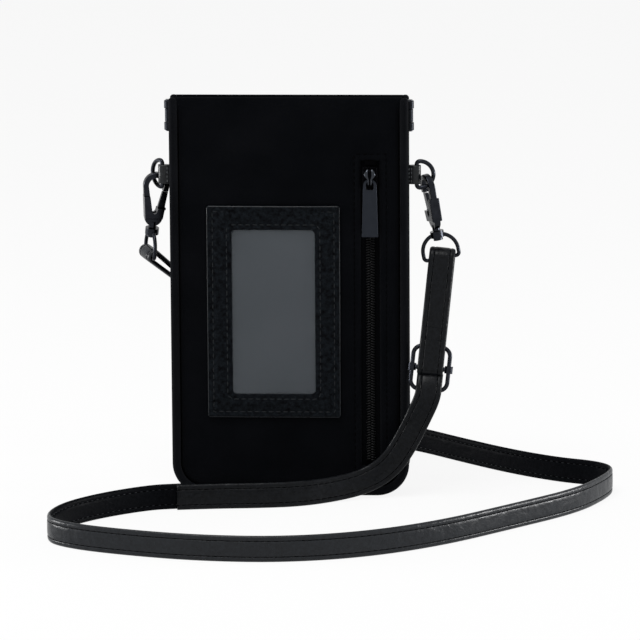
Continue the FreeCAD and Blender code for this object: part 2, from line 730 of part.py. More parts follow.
# Strap lengths: straight runs joined by arcs, each as large as its two runs allow
def ribbon(name, route):
    """A flat strap along a route, as ruled spans between upright sections of it."""
    points = [p for p, _ in route]
    stations = [(points[0], points[1] - points[0], route[0][1])]
    radii = []
    for i in range(1, len(points) - 1):
        before, after = points[i] - points[i - 1], points[i + 1] - points[i]
        turn = before.getAngle(after)
        cut = arc_share * min(before.Length, after.Length)
        radius = cut / math.tan(turn / 2)
        radii.append(round(radius, 1))
        t0, t1 = Vector(before).normalize(), Vector(after).normalize()
        start = points[i] - t0 * cut
        inward = (t1 - t0 * t0.dot(t1)).normalize()
        centre = start + inward * radius
        steps = max(1, math.ceil(math.degrees(turn) / arc_step_deg))
        for k in range(steps + 1):
            a = turn * k / steps
            spot = centre - inward * (radius * math.cos(a)) + t0 * (radius * math.sin(a))
            stations.append((spot, t0 * math.cos(a) + inward * math.sin(a), route[i][1]))
    stations.append((points[-1], points[-1] - points[-2], route[-1][1]))
    sections, length = [], 0
    for spot, way, across in stations:
        t = Vector(way).normalize()
        w = (across - t * across.dot(t)).normalize() * (strap_width / 2)
        n = Vector(w).normalize().cross(t) * (strap_wall / 2)
        corners = [spot + w + n, spot + w - n, spot - w - n, spot - w + n]
        sections.append(Part.makePolygon(corners + corners[:1]))
    for (a, _, _), (b, _, _) in zip(stations, stations[1:]):
        length += (b - a).Length
    strap = Part.makeLoft(sections, True, True)
    print(name, "length", round(length, 1), "radii", radii, "volume share",
          round(strap.Volume / (length * strap_width * strap_wall), 4))
    return strap


os.makedirs("parts", exist_ok=True)

# Soft body
front_piping = lean(make_piping())
back_piping = to_back(front_piping)
save("front_piping", front_piping)
save("back_piping", back_piping)
save("front_panel", lean(make_panel(make_piping()).cut(make_zip_slot())))
save("back_panel", to_back(lean(make_panel(make_piping()))))
save("gusset", make_gusset([front_piping, back_piping]))
save("front_padding", lean(layer(layer_inset, panel_wall, padding_wall, hem_foot).cut(make_padding_cut())))
save("back_padding", to_back(lean(layer(layer_inset, panel_wall, padding_wall, hem_foot))))
save("front_lining", lean(layer(layer_inset, layer_depth, lining_wall, hem_foot)))
save("back_lining", to_back(lean(layer(layer_inset, layer_depth, lining_wall, hem_foot))))

# Squeeze frame
save("front_blade", make_blade(True))
save("back_blade", make_blade(False))
for name, side in sides.items():
    save("frame_pin_" + name, make_hinge_pin(side))

# Window pocket and zip pocket
save("window_frame", lean(make_window_frame()))
save("window_film", lean(make_window_film()))
save("zip_pocket_bag", lean(make_zip_bag()))
for name, side in sides.items():
    save("zip_tape_" + name, lean(make_zip_tape(side)))
    save("zip_teeth_" + name, lean(make_coil(side)))
save("zip_stop_top", lean(make_zip_stop(zip_top - stop_length)))
save("zip_stop_bottom", lean(make_zip_stop(zip_bottom)))
save("zip_slider", lean(make_zip_slider()))
save("zip_pull", lean(make_zip_pull()))

# Side tabs, D-rings, hooks and swivel rings
hang = {
    "right": (right_ring_turn, right_hook_turn, right_swivel_turn, right_hook_tilt),
    "left": (left_ring_turn, left_hook_turn, left_swivel_turn, left_hook_tilt),
}


def flat_way(turn):
    """The level direction at a turn from straight out of the pouch."""
    return Vector(math.cos(math.radians(turn)), math.sin(math.radians(turn)), 0)


bar_places = {}
for name, side in sides.items():
    ring_turn, hook_turn, swivel_turn, tilt = hang[name]
    upward = up * math.cos(math.radians(tilt)) - flat_way(ring_turn) * math.sin(math.radians(tilt))
    bow = math.radians(contact_angle)
    contact = flat_way(ring_turn) * (ring_corner_radius + ring_bow_radius * math.cos(bow))
    contact = contact - up * (ring_bow_radius * math.sin(bow))
    hook_way = flat_way(hook_turn)
    level = (hook_way - upward * hook_way.dot(upward)).normalize()
    foot = contact - level * hook_contact_x - upward * hook_contact_z
    save("strap_tab_" + name, to_side(make_tab(), side))
    save("d_ring_" + name, to_side(make_d_ring(ring_turn), side))
    for node, shape in {
        "hook_body_": make_hook_body(),
        "hook_gate_": make_hook_gate(),
        "gate_pin_": gate_cylinder(gate_pin_dia / 2, hook_body_width),
        "gate_spring_": make_gate_spring(),
    }.items():
        save(node + name, to_side(place(shape, foot, hook_way, upward), side))
    save("swivel_ring_" + name, to_side(place(make_swivel_ring(), foot, flat_way(swivel_turn), upward), side))
    bar = foot - upward * swivel_drop
    bar_places[name] = Vector(side * (ring_bar_reach + bar.x), bar.y, ring_height + bar.z)
    pivot = foot + level * gate_pivot_x + upward * gate_pivot_z
    print(name, "swivel axis at", Vector(side * (ring_bar_reach + foot.x), foot.y, ring_height + foot.z),
          "along", Vector(side * upward.x, upward.y, upward.z))
    pin_way = upward.cross(level)
    print(name, "gate axis at", Vector(side * (ring_bar_reach + pivot.x), pivot.y, ring_height + pivot.z),
          "along", Vector(side * pin_way.x, pin_way.y, pin_way.z), "strap bar at", bar_places[name])

# Strap with its slider
right_bar = bar_places["right"]
slider_bar_place = right_bar + loop_hang
loop_way = loop_hang * -1
bar_fold_radius = slider_bar_dia / 2 + bar_fold_clearance
loop_across = Vector(1, 0, 0)
save("strap_loop", place(fold_band(ring_fold_radius, bar_fold_radius, loop_way.Length), right_bar,
                         loop_across, loop_way))
save("slider_frame", place(make_slider_frame(), slider_bar_place, loop_across, loop_way))
save("slider_bar", place(make_slider_bar(), slider_bar_place, loop_across, loop_way))
left_bar = bar_places["left"]
left_fold_across = flat_way(-left_swivel_turn)
save("strap_end_fold", place(fold_band(end_fold_top_radius, end_fold_radius, end_fold_length), left_bar,
                             left_fold_across, left_fold_way * -1))
fold_end = left_bar + Vector(left_fold_way).normalize() * (end_fold_length + end_fold_radius + strap_wall)
pivot = lean(Part.Vertex(zip_centre_x, pull_pivot_y, pull_pivot_z)).Point
print("left fold ends at", fold_end, "zip pull pivot at", pivot, "lean", lean_deg)
save("strap_front_length", ribbon("front length", front_route))
save("strap_back_length", ribbon("back length", back_route))
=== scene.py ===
import math

import bmesh
import bpy
from mathutils import Matrix, Vector
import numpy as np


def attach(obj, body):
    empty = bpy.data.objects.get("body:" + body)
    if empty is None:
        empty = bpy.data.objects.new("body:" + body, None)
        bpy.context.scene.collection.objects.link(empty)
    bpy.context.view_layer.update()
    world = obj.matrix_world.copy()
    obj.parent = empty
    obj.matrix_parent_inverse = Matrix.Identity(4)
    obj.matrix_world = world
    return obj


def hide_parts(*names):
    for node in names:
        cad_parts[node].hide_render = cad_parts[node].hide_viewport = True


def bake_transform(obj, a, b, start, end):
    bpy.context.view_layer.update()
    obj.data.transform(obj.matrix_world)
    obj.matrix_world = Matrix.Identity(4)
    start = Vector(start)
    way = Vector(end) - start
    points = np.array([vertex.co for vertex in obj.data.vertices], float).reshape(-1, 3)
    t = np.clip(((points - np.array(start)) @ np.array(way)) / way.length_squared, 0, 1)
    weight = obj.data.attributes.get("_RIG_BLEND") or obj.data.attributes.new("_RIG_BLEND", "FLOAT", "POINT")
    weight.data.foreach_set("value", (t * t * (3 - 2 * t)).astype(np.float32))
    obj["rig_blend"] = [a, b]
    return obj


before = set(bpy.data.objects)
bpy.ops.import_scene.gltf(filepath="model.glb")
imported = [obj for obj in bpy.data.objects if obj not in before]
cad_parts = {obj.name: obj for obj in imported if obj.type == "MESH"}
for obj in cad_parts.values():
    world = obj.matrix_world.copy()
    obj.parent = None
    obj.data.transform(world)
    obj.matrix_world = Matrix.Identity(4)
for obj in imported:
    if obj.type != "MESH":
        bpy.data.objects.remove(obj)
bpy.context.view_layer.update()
mm = 0.001

# View, floor and light. A long lens stands a little right of the pouch's middle and above it.
# The pouch stands on a white paper sweep, under a soft overhead panel and between two low strip lights.
view_turn = math.radians(3.0)
view_rise = math.radians(12.0)
view_roll = math.radians(-0.4)
view_place = Vector((0.12641, -2.15097, 0.53964))
camera = bpy.data.objects.new("camera", bpy.data.cameras.new("camera"))
camera.data.sensor_width = 36.0
camera.data.lens = 266.7
camera.data.clip_end = 30.0
camera.matrix_world = (
    Matrix.Translation(view_place)
    @ Matrix.Rotation(view_turn, 4, "Z")
    @ Matrix.Rotation(math.pi / 2 - view_rise, 4, "X")
    @ Matrix.Rotation(view_roll, 4, "Z")
)
bpy.context.scene.collection.objects.link(camera)
bpy.context.scene.camera = camera
bpy.context.scene.view_settings.view_transform = "Standard"


def colour(code):
    """The linear colour of an sRGB hex code."""
    levels = [int(code[i:i + 2], 16) / 255 for i in (1, 3, 5)]
    return (*[v / 12.92 if v <= 0.04045 else ((v + 0.055) / 1.055) ** 2.4 for v in levels], 1.0)


def add(tree, kind, values=None, **settings):
    """A new shader node with its settings, and its inputs set to values or linked to sockets."""
    node = tree.nodes.new("ShaderNode" + kind)
    for name, setting in settings.items():
        setattr(node, name, setting)
    for name, value in (values or {}).items():
        if isinstance(value, bpy.types.NodeSocket):
            tree.links.new(value, node.inputs[name])
        else:
            node.inputs[name].default_value = value
    return node


def new_material(name):
    """An empty node material and its tree."""
    material = bpy.data.materials.new(name)
    material.use_nodes = True
    material.node_tree.nodes.clear()
    return material, material.node_tree


def seen_directly(tree):
    """1 for rays from the camera, a mirror or a clear film, and 0 for rays that carry light."""
    rays = add(tree, "LightPath").outputs
    seen = add(tree, "Math", {0: rays["Is Camera Ray"], 1: rays["Is Glossy Ray"]}, operation="MAXIMUM")
    seen = add(tree, "Math", {0: seen.outputs[0], 1: rays["Is Transmission Ray"]}, operation="MAXIMUM")
    return seen.outputs[0]


white = colour("#ffffff")
sweep_half = 9.0
sweep_glow = 0.88
room_level = 0.34
light_aim = Vector((0, 0, 0.09))


def white_sweep():
    """White seamless paper, lit evenly so that it stays white, with a trace of shadow under the object."""
    material, tree = new_material("white_sweep_paper")
    paper = add(tree, "BsdfPrincipled", {"Base Color": colour("#f3f3f3"), "Roughness": 0.9})
    glow = add(tree, "Emission", {"Color": white, "Strength": 1.0})
    share = add(tree, "Math", {0: seen_directly(tree), 1: sweep_glow}, operation="MULTIPLY")
    mix = add(tree, "MixShader", {"Fac": share.outputs[0], 1: paper.outputs[0], 2: glow.outputs[0]})
    add(tree, "OutputMaterial", {"Surface": mix.outputs[0]})
    return material


def new_piece(name, bm, material, smooth=True, rear=None, painted_light=None):
    """Make an object from a finished bmesh. Its rear may have its own material, and so may the faces that
    carry painted shade or a painted highlight.
    """
    data = bpy.data.meshes.new(name)
    bm.to_mesh(data)
    bm.free()
    for surface in (material, rear or material, painted_light or material):
        data.materials.append(surface)
    data.polygons.foreach_set("use_smooth", [smooth] * len(data.polygons))
    made = bpy.data.objects.new(name, data)
    bpy.context.scene.collection.objects.link(made)
    return made


floor_mesh = bmesh.new()
bmesh.ops.create_grid(floor_mesh, x_segments=1, y_segments=1, size=sweep_half)
floor = new_piece("sweep_floor", floor_mesh, white_sweep(), smooth=False)

world = bpy.data.worlds.new("white_room")
world.use_nodes = True
world_tree = world.node_tree
world_tree.nodes.clear()
room_light = add(world_tree, "Background", {"Color": white, "Strength": room_level}).outputs[0]
room_seen = add(world_tree, "Background", {"Color": white, "Strength": 1.0}).outputs[0]
room_mix = add(world_tree, "MixShader", {"Fac": seen_directly(world_tree), 1: room_light, 2: room_seen})
add(world_tree, "OutputWorld", {"Surface": room_mix.outputs[0]})
bpy.context.scene.world = world

for name, place, width, height, power in (
    ("overhead_panel", (-0.25, -0.55, 1.5), 0.8, 0.8, 15.0),
    ("left_strip", (-0.95, -0.05, 0.12), 0.4, 0.16, 7.0),
    ("right_strip", (1.0, -0.02, 0.12), 0.4, 0.16, 9.0),
):
    lamp = bpy.data.objects.new(name, bpy.data.lights.new(name, "AREA"))
    lamp.data.shape = "RECTANGLE"
    lamp.data.size = width
    lamp.data.size_y = height
    lamp.data.energy = power
    lamp.location = place
    lamp.rotation_euler = (light_aim - Vector(place)).to_track_quat("-Z", "Y").to_euler()
    bpy.context.scene.collection.objects.link(lamp)

# Strap lengths. A 12 mm strap of two leathers with turned edges, sewn along both edges.
# The front length comes down from the slider to a sewn join on the floor, and the back length goes
# on from there in a wide loop and up behind the pouch. Each point has the way the width faces there.
strap_width = 12 * mm
up = (0, 0, 1)
front_route = [
    ((0.0652, -0.0112, 0.0592), (-1, 0, 0.05)),
    ((0.0648, -0.0150, 0.0555), (-1, 0, 0.1)),
    ((0.0642, -0.0166, 0.0490), (-0.97, 0, 0.25)),
    ((0.0593, -0.0158, 0.0385), (-0.94, 0, 0.34)),
    ((0.0538, -0.0144, 0.0270), (-0.85, 0, 0.53)),
    ((0.0465, -0.0133, 0.0155), (-0.6, 0, 0.8)),
    ((0.0355, -0.0142, 0.0084), (-0.25, 0, 0.97)),
    ((0.0215, -0.0205, 0.0061), up),
    ((0.0055, -0.0298, 0.0060), up),
    ((-0.0130, -0.0332, 0.0060), up),
    ((-0.0340, -0.0348, 0.0060), up),
    ((-0.0508, -0.0376, 0.0060), up),
]
back_route = [
    ((-0.0430, -0.0336, 0.0060), up),
    ((-0.0510, -0.0352, 0.0060), up),
    ((-0.0640, -0.0383, 0.0060), up),
    ((-0.0860, -0.0545, 0.0060), up),
    ((-0.1015, -0.0740, 0.0060), up),
    ((-0.1057, -0.0960, 0.0060), up),
    ((-0.0930, -0.1090, 0.0060), up),
    ((-0.0660, -0.1200, 0.0060), up),
    ((-0.0340, -0.1285, 0.0060), up),
    ((0.0020, -0.1305, 0.0060), up),
    ((0.0380, -0.1210, 0.0060), up),
    ((0.0720, -0.1000, 0.0060), up),
    ((0.1040, -0.0685, 0.0060), up),
    ((0.1330, -0.0390, 0.0060), up),
    ((0.1456, -0.0140, 0.0060), up),
    ((0.1502, 0.0030, 0.0060), up),
    ((0.1424, 0.0135, 0.0060), up),
    ((0.1240, 0.0205, 0.0060), up),
    ((0.1010, 0.0370, 0.0060), up),
    ((0.0770, 0.0600, 0.0060), up),
    ((0.0600, 0.0775, 0.0060), up),
    ((0.0460, 0.0870, 0.0063), up),
    ((0.0310, 0.0890, 0.0094), (0.1, 0, 0.98)),
    ((0.0160, 0.0820, 0.0185), (0.2, -0.1, 0.93)),
    ((0.0020, 0.0700, 0.0320), (0.32, -0.28, 0.82)),
    ((-0.0110, 0.0560, 0.0480), (0.42, -0.48, 0.6)),
    ((-0.0230, 0.0415, 0.0635), (0.48, -0.66, 0.35)),
    ((-0.0350, 0.0313, 0.0768), (0.5, -0.8, 0.12)),
    ((-0.04412, 0.02455, 0.08776), (0.5, -0.866, 0)),
    ((-0.05019, 0.02008, 0.09521), (0.5, -0.866, 0)),
]


def spline_points(points):
    """The points along a smooth spline that has these as its control points."""
    curve = bpy.data.curves.new("strap_line", "CURVE")
    curve.dimensions = "3D"
    spline = curve.splines.new("NURBS")
    spline.points.add(len(points) - 1)
    for control, point in zip(spline.points, points):
        control.co = (*point, 1)
    spline.order_u = 3
    spline.use_endpoint_u = True
    holder = bpy.data.objects.new("strap_line", curve)
    line = bpy.data.meshes.new_from_object(holder)
    places = [v.co.copy() for v in line.vertices]
    bpy.data.meshes.remove(line)
    bpy.data.objects.remove(holder)
    bpy.data.curves.remove(curve)
    return places


def directions(line):
    """The way along a line of points, at each of them."""
    return [ahead - behind for ahead, behind in zip(line[1:] + line[-1:], line[:1] + line[:-1])]


def upright(origin, across, along):
    """A frame at a point: X across, Z along, and Y out of the face."""
    z = along.normalized()
    x = (across - z * across.dot(z)).normalized()
    y = z.cross(x)
    return Matrix.Translation(origin) @ Matrix((x, y, z)).transposed().to_4x4()


def strap_frames(route):
    """Frames along a strap, from its middle line and the line of one of its edges."""
    middle = spline_points([Vector(p) for p, _ in route])
    edge = spline_points([Vector(p) + Vector(w).normalized() * (strap_width / 2) for p, w in route])
    return [upright(m, e - m, along) for m, e, along in zip(middle, edge, directions(middle))]


def extrude_on(bm, edges):
    """Extrude edges, and give the new vertices, the edges between these and the new faces."""
    made = bmesh.ops.extrude_edge_only(bm, edges=edges)["geom"]
    verts = [g for g in made if isinstance(g, bmesh.types.BMVert)]
    faces = [g for g in made if isinstance(g, bmesh.types.BMFace)]
    fresh = set(verts)
    edges = [g for g in made if isinstance(g, bmesh.types.BMEdge) and fresh.issuperset(g.verts)]
    return verts, edges, faces


# Slot 2 carries painted light: near-black painted shade in grooves and seams, and a painted highlight on the
# window frame's edge.
rear_slot, painted_light_slot = 1, 2


def sweep(profile, frames, painted_light=(0, 0)):
    """A closed profile drawn along a line of frames, with its ends closed.

    Its rear has its own slot, and so have the faces whose distance from the middle lies within the
    painted_light range, which carry painted shade.
    """
    bm = bmesh.new()
    first = bm.faces.new([bm.verts.new(frames[0] @ Vector((x, y, 0))) for x, y in profile])
    edges = first.edges[:]
    for last, now in zip(frames, frames[1:]):
        verts, edges, faces = extrude_on(bm, edges)
        bmesh.ops.transform(bm, matrix=now @ last.inverted(), verts=verts)
        local = now.inverted()
        for made in faces:
            spot = local @ made.calc_center_median()
            outer_slot = rear_slot if spot.y < 0 else 0
            made.material_index = painted_light_slot if painted_light[0] < abs(spot.x) < painted_light[1] else outer_slot
    bmesh.ops.contextual_create(bm, geom=edges)
    bmesh.ops.recalc_face_normals(bm, faces=bm.faces[:])
    return bm


def ease(low, high, value):
    """0 below low, 1 above high, and a smooth step between them."""
    t = min(max((value - low) / (high - low), 0), 1)
    return t * t * (3 - 2 * t)


def follow(piece, body, share):
    """Let a soft piece on the pouch go along with a moving body, by a share that changes over the piece."""
    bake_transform(piece, "pouch", body, start=(0, 0, 0), end=(0, 0, 1))
    for weight, vertex in zip(piece.data.attributes["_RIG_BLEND"].data, piece.data.vertices):
        weight.value = share(vertex.co)


def new_surface(name):
    """An empty node material, its tree, and the place on the object that its patterns follow."""
    material, tree = new_material(name)
    return material, tree, add(tree, "TexCoord").outputs["Object"]


def noise(tree, place, size, detail, rough=0.5, bend=0.0):
    """Soft noise with patches of a size, broken up by detail."""
    values = {"Vector": place, "Scale": 1 / size, "Detail": detail, "Roughness": rough, "Distortion": bend}
    return add(tree, "TexNoise", values).outputs["Fac"]


def spread(tree, value, low, high, to_low=0.0, to_high=1.0):
    """What lies between low and high, drawn out over another range."""
    values = {"Value": value, "From Min": low, "From Max": high, "To Min": to_low, "To Max": to_high}
    return add(tree, "MapRange", values).outputs[0]


def tone(tree, share, dark, light):
    """A colour between two sRGB codes."""
    values = {"Factor": share, "A": colour(dark), "B": colour(light)}
    return add(tree, "Mix", values, data_type="RGBA").outputs["Result"]


def bumped(tree, height, depth, strength):
    """The direction of a surface that has a fine relief of a depth."""
    return add(tree, "Bump", {"Strength": strength, "Distance": depth, "Height": height}).outputs[0]


def cover(material, base, rough, values):
    """The material, closed with one surface shader."""
    tree = material.node_tree
    shader = add(tree, "BsdfPrincipled", {"Base Color": base, "Roughness": rough, **values})
    add(tree, "OutputMaterial", {"Surface": shader.outputs[0]})
    return material


def leather(name, dark, light, grain, depth, wrinkle, gloss, shine):
    """Black finished cowhide: pebbled grain, creases and soft wrinkles, with the low sheen of a top coat."""
    material, tree, place = new_surface(name)
    pebble = add(tree, "TexVoronoi", {"Vector": place, "Scale": 1 / grain, "Randomness": 0.9},
                 feature="SMOOTH_F1")
    crease = noise(tree, place, grain / 0.22, 6.0, 0.65)
    patch = noise(tree, place, grain / 0.45, 4.0, 0.7)
    slack = noise(tree, place, 5 * mm, 2.0, bend=0.6)
    height = add(tree, "Math", {0: pebble.outputs["Distance"], 1: crease}, operation="ADD")
    bump = add(tree, "Bump", {"Strength": 0.55, "Distance": depth, "Height": height.outputs[0],
                              "Normal": bumped(tree, slack, wrinkle, 1.0)}, invert=True)
    base = tone(tree, spread(tree, patch, 0.34, 0.66), dark, light)
    matt = spread(tree, crease, 0.3, 0.7, gloss - 0.07, gloss + 0.1)
    return cover(material, base, matt, {"Normal": bump.outputs[0], "IOR": 1.5, "Specular IOR Level": shine})


wave_length = 0.31


def ribs(tree, place, pitch, bend):
    """Slanting ribs at a pitch, as of twisted or woven yarn. The wave texture has its own wave length."""
    values = {"Vector": place, "Scale": wave_length / pitch, "Distortion": bend}
    return add(tree, "TexWave", values, bands_direction="DIAGONAL").outputs["Fac"]


def sewing_thread(name, dark, light, gloss, shine):
    """Polyester thread: a tight two-ply twist that catches small highlights, more so where it is waxed."""
    material, tree, place = new_surface(name)
    ply = ribs(tree, place, 0.35 * mm, 0.4)
    bump = bumped(tree, ply, 0.06 * mm, 0.5)
    return cover(material, tone(tree, ply, dark, light), gloss, {"Normal": bump, "Specular IOR Level": shine})


waxed_thread = sewing_thread("waxed_polyester_thread", "#050608", "#111316", gloss=0.5, shine=0.08)
inner_thread = sewing_thread("grey_bobbin_thread", "#121416", "#25282d", gloss=0.5, shine=0.15)
stitch_thick = 0.55 * mm
stitch_share, inner_stitch_share = 0.7, 0.5
bead_shape = bmesh.new()
bmesh.ops.create_uvsphere(bead_shape, u_segments=8, v_segments=6, radius=1)
bead = bpy.data.meshes.new("bead")
bead_shape.to_mesh(bead)
bead_shape.free()


def add_bead(bm, shape):
    """Add one rounded bead, drawn out and placed by a matrix."""
    one = bead.copy()
    one.transform(shape)
    bm.from_mesh(one)
    bpy.data.meshes.remove(one)


def sew(bm, line, outs, pitch, share=stitch_share):
    """Add a row of stitches along a line, each lying flat on the face that points out there."""
    size = Matrix.Diagonal((stitch_thick / 2, stitch_thick / 2, pitch * share / 2, 1))
    travelled, due = 0.0, pitch / 2
    for a, b, out in zip(line, line[1:], outs):
        run = (b - a).length
        while travelled + run >= due:
            spot = a.lerp(b, (due - travelled) / run)
            add_bead(bm, upright(spot, out.cross(b - a), b - a) @ size)
            due += pitch
        travelled += run


strap_leather = leather("smooth_strap_leather", "#131518", "#1d2024", grain=0.7 * mm, depth=0.08 * mm,
                        wrinkle=0.35 * mm, gloss=0.3, shine=0.2)
strap_lining = leather("soft_strap_lining", "#060709", "#121417", grain=0.7 * mm, depth=0.08 * mm,
                       wrinkle=0.45 * mm, gloss=0.3, shine=0.1)
# Matt inner side of the back length and of the left end fold. It is darker than the same side on the front
# length, as painted shade.
strap_backing_shaded = leather("matt_strap_backing_painted_shade", "#040507", "#0b0c0f", grain=0.6 * mm, depth=0.08 * mm,
                        wrinkle=0.3 * mm, gloss=0.42, shine=0.02)
# This near-black leather goes on the faces in the straps' stitch grooves as painted shade.
groove_shade_leather = leather("painted_groove_shade_leather", "#010102", "#030405", grain=0.6 * mm, depth=0.05 * mm,
                       wrinkle=0.05 * mm, gloss=0.6, shine=0.01)
strap_stitch_reach = 3.6 * mm
strap_stitch_pitch = 3.0 * mm
strap_groove = 0.66 * mm
# The stitch grooves' faces, between these distances from the middle, take the painted groove shade.
groove_shade_reach = (3.32 * mm, 3.88 * mm)
strap_quarter = [(0, 1.1), (2.0, 1.1), (3.1, 1.06), (3.4, 0.95), (3.6, 0.55), (3.8, 0.93), (4.2, 1.03),
                 (4.9, 1.0), (5.5, 0.8), (5.85, 0.45), (6.0, 0)]


def in_mm(points):
    """Points of a profile that are given in millimetres."""
    return [(x * mm, y * mm) for x, y in points]


strap_half = strap_quarter + [(x, -y) for x, y in strap_quarter[-2::-1]]
strap_profile = in_mm(strap_half + [(-x, y) for x, y in strap_half[-2:0:-1]])


def sew_edges(bm, frames, face, share=stitch_share):
    """Add the rows of stitches in the two grooves of one face of a strap."""
    outs = [f.col[1].xyz * face for f in frames]
    for side in (1, -1):
        lay = Vector((side * strap_stitch_reach, face * strap_groove, 0))
        sew(bm, [f @ lay for f in frames], outs, strap_stitch_pitch, share)


def make_strap(name, route, rear, rear_thread):
    """One strap length and its four rows of stitches, the two on its rear with their own thread."""
    frames = strap_frames(route)
    shape = sweep(strap_profile, frames, groove_shade_reach)
    strap = new_piece(name, shape, strap_leather, rear=rear, painted_light=groove_shade_leather)
    rows = bmesh.new()
    sew_edges(rows, frames, 1)
    outer_count = len(rows.faces)
    sew_edges(rows, frames, -1, inner_stitch_share)
    rows.faces.ensure_lookup_table()
    for sewn in rows.faces[outer_count:]:
        sewn.material_index = rear_slot
    stitches = new_piece(name + "_stitches", rows, waxed_thread, rear=rear_thread)
    return strap, stitches, [f.translation for f in frames]


hanging_low, hanging_high = 14 * mm, 54 * mm
strap_front, front_stitches, front_line = make_strap("front_strap", front_route, strap_lining, waxed_thread)
for piece in (strap_front, front_stitches):
    follow(piece, "right_ring", lambda p: ease(hanging_low, hanging_high, p.z))
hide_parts("strap_front_length")

rising_low, rising_high = 30 * mm, 90 * mm
strap_back, back_stitches, back_line = make_strap("back_strap", back_route, strap_backing_shaded, inner_thread)
for piece in (strap_back, back_stitches):
    follow(piece, "left_ring", lambda p: ease(rising_low, rising_high, p.z))
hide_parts("strap_back_length")

# Pouch shell. Two panels of brushed black fabric, lined inside and padded with thin foam, are sewn to a
# gusset strip round the sides and the base, with a fabric piping in each seam. They lean in towards
# the mouth, where each is turned over and down again as a hem.
base_half = 9 * mm
edge_half, edge_bottom, edge_radius = 53.6 * mm, 1.8 * mm, 13.4 * mm
pouch_top, hem_foot, gusset_top = 187.2 * mm, 171 * mm, 170 * mm
lean_slope = 0.0203
on_front = (
    Matrix.Translation((0, -base_half, 0))
    @ Matrix.Rotation(-math.atan(lean_slope), 4, "X")
)
on_back = Matrix.Scale(-1, 4, (0, 1, 0)) @ on_front
x_way, y_way, z_way = Vector((1, 0, 0)), Vector((0, 1, 0)), Vector((0, 0, 1))


def fabric(name, dark, light, nap, gloss):
    """Brushed black fabric: a short nap that swallows light, in soft patches, with hardly any shine."""
    material, tree, place = new_surface(name)
    fibre = noise(tree, place, nap, 4.0, 0.7)
    patch = noise(tree, place, 22.2 * mm, 4.0, 0.55)
    blend = add(tree, "Math", {0: fibre, 1: patch}, operation="MULTIPLY")
    base = tone(tree, spread(tree, blend.outputs[0], 0.1, 0.42), dark, light)
    return cover(material, base, gloss, {
        "Normal": bumped(tree, fibre, 0.12 * mm, 0.35), "Specular IOR Level": 0.015,
        "Sheen Weight": 0.012, "Sheen Roughness": 0.5})


panel_fabric = fabric("brushed_panel_fabric", "#040507", "#0b0c0f", nap=0.5 * mm, gloss=0.85)
piping_fabric = fabric("piping_fabric", "#07080a", "#111215", nap=0.4 * mm, gloss=0.7)
lining_fabric = fabric("lining_fabric", "#101113", "#1c1d21", nap=0.7 * mm, gloss=0.8)
# This near-black fabric goes on the narrow band of panel beside the piping as painted shade in the seam.
seam_shade_fabric = fabric("painted_seam_shade_fabric", "#000000", "#020202", nap=0.4 * mm, gloss=0.95)
matt_thread = sewing_thread("matt_polyester_thread", "#010101", "#040405", gloss=0.8, shine=0.02)


def round_off(bm, geom, radius, steps, affect="EDGES"):
    """Round some edges of a mesh, or corners of a flat face."""
    bmesh.ops.bevel(bm, geom=geom, offset=radius, affect=affect, segments=steps, profile=0.5, material=-1)


def flat_face(half, foot, top, radius, steps, all_round=False):
    """A flat face in the XZ plane with its two lower corners rounded, or all four."""
    bm = bmesh.new()
    corners = [(-half, 0, top), (-half, 0, foot), (half, 0, foot), (half, 0, top)]
    verts = [bm.verts.new(c) for c in corners]
    bm.faces.new(verts)
    round_off(bm, verts if all_round else verts[1:3], radius, steps, "VERTICES")
    return bm


def u_face(inset, top):
    """A flat face as the pouch's outline, drawn in from the seam."""
    return flat_face(edge_half - inset, edge_bottom + inset, top, edge_radius - inset, 14)


tie_break = 1.001


def outline(bm):
    """The points round a flat face, from its upper left corner down. The face is used up."""
    line = [loop.vert.co.copy() for loop in bm.faces[:][0].loops]
    bm.free()
    first = max(range(len(line)), key=lambda i: line[i].z * tie_break - line[i].x)
    return line[first:] + line[:first]


def seam_frames(inset, top, depth):
    """Frames along the seam, down one side, round the base and up the other. X points outwards."""
    line = outline(u_face(inset, top))
    return [upright(p + y_way * depth, y_way.cross(along), along) for p, along in zip(line, directions(line))]


def cut_up(bm, places, way, **settings):
    """Cut a mesh by planes across a direction, so that it can be shaped between them."""
    for place in places:
        whole = [*bm.verts, *bm.edges, *bm.faces]
        bmesh.ops.bisect_plane(bm, geom=whole, plane_co=way * place, plane_no=way, **settings)


def settle(bm, place):
    """Put a finished mesh in its place, the right way out also where it is mirrored."""
    bmesh.ops.transform(bm, matrix=place, verts=bm.verts)
    if place.determinant() < 0:
        bmesh.ops.reverse_faces(bm, faces=bm.faces)
    return bm


def stitch_rows(name, rows, pitch, place, thread):
    """Rows of stitches as one piece. Each row has its line and the way that its face points."""
    bm = bmesh.new()
    for line, out in rows:
        sew(bm, line, [out] * len(line), pitch)
    return new_piece(name, settle(bm, place), thread)


def seam_gap(p):
    """How far a point of a panel lies inside the seam."""
    corner_x, corner_z = abs(p.x) - edge_half + edge_radius, edge_bottom + edge_radius - p.z
    if corner_x > 0 and corner_z > 0:
        return edge_radius - math.hypot(corner_x, corner_z)
    return min(edge_half - abs(p.x), p.z - edge_bottom)


def level(table, gap):
    """The height at a gap, from a table of gaps and heights in millimetres."""
    for (g0, h0), (g1, h1) in zip(table, table[1:]):
        if gap < g1 * mm:
            return (h0 + (h1 - h0) * max(gap / mm - g0, 0) / (g1 - g0)) * mm
    return table[-1][1] * mm


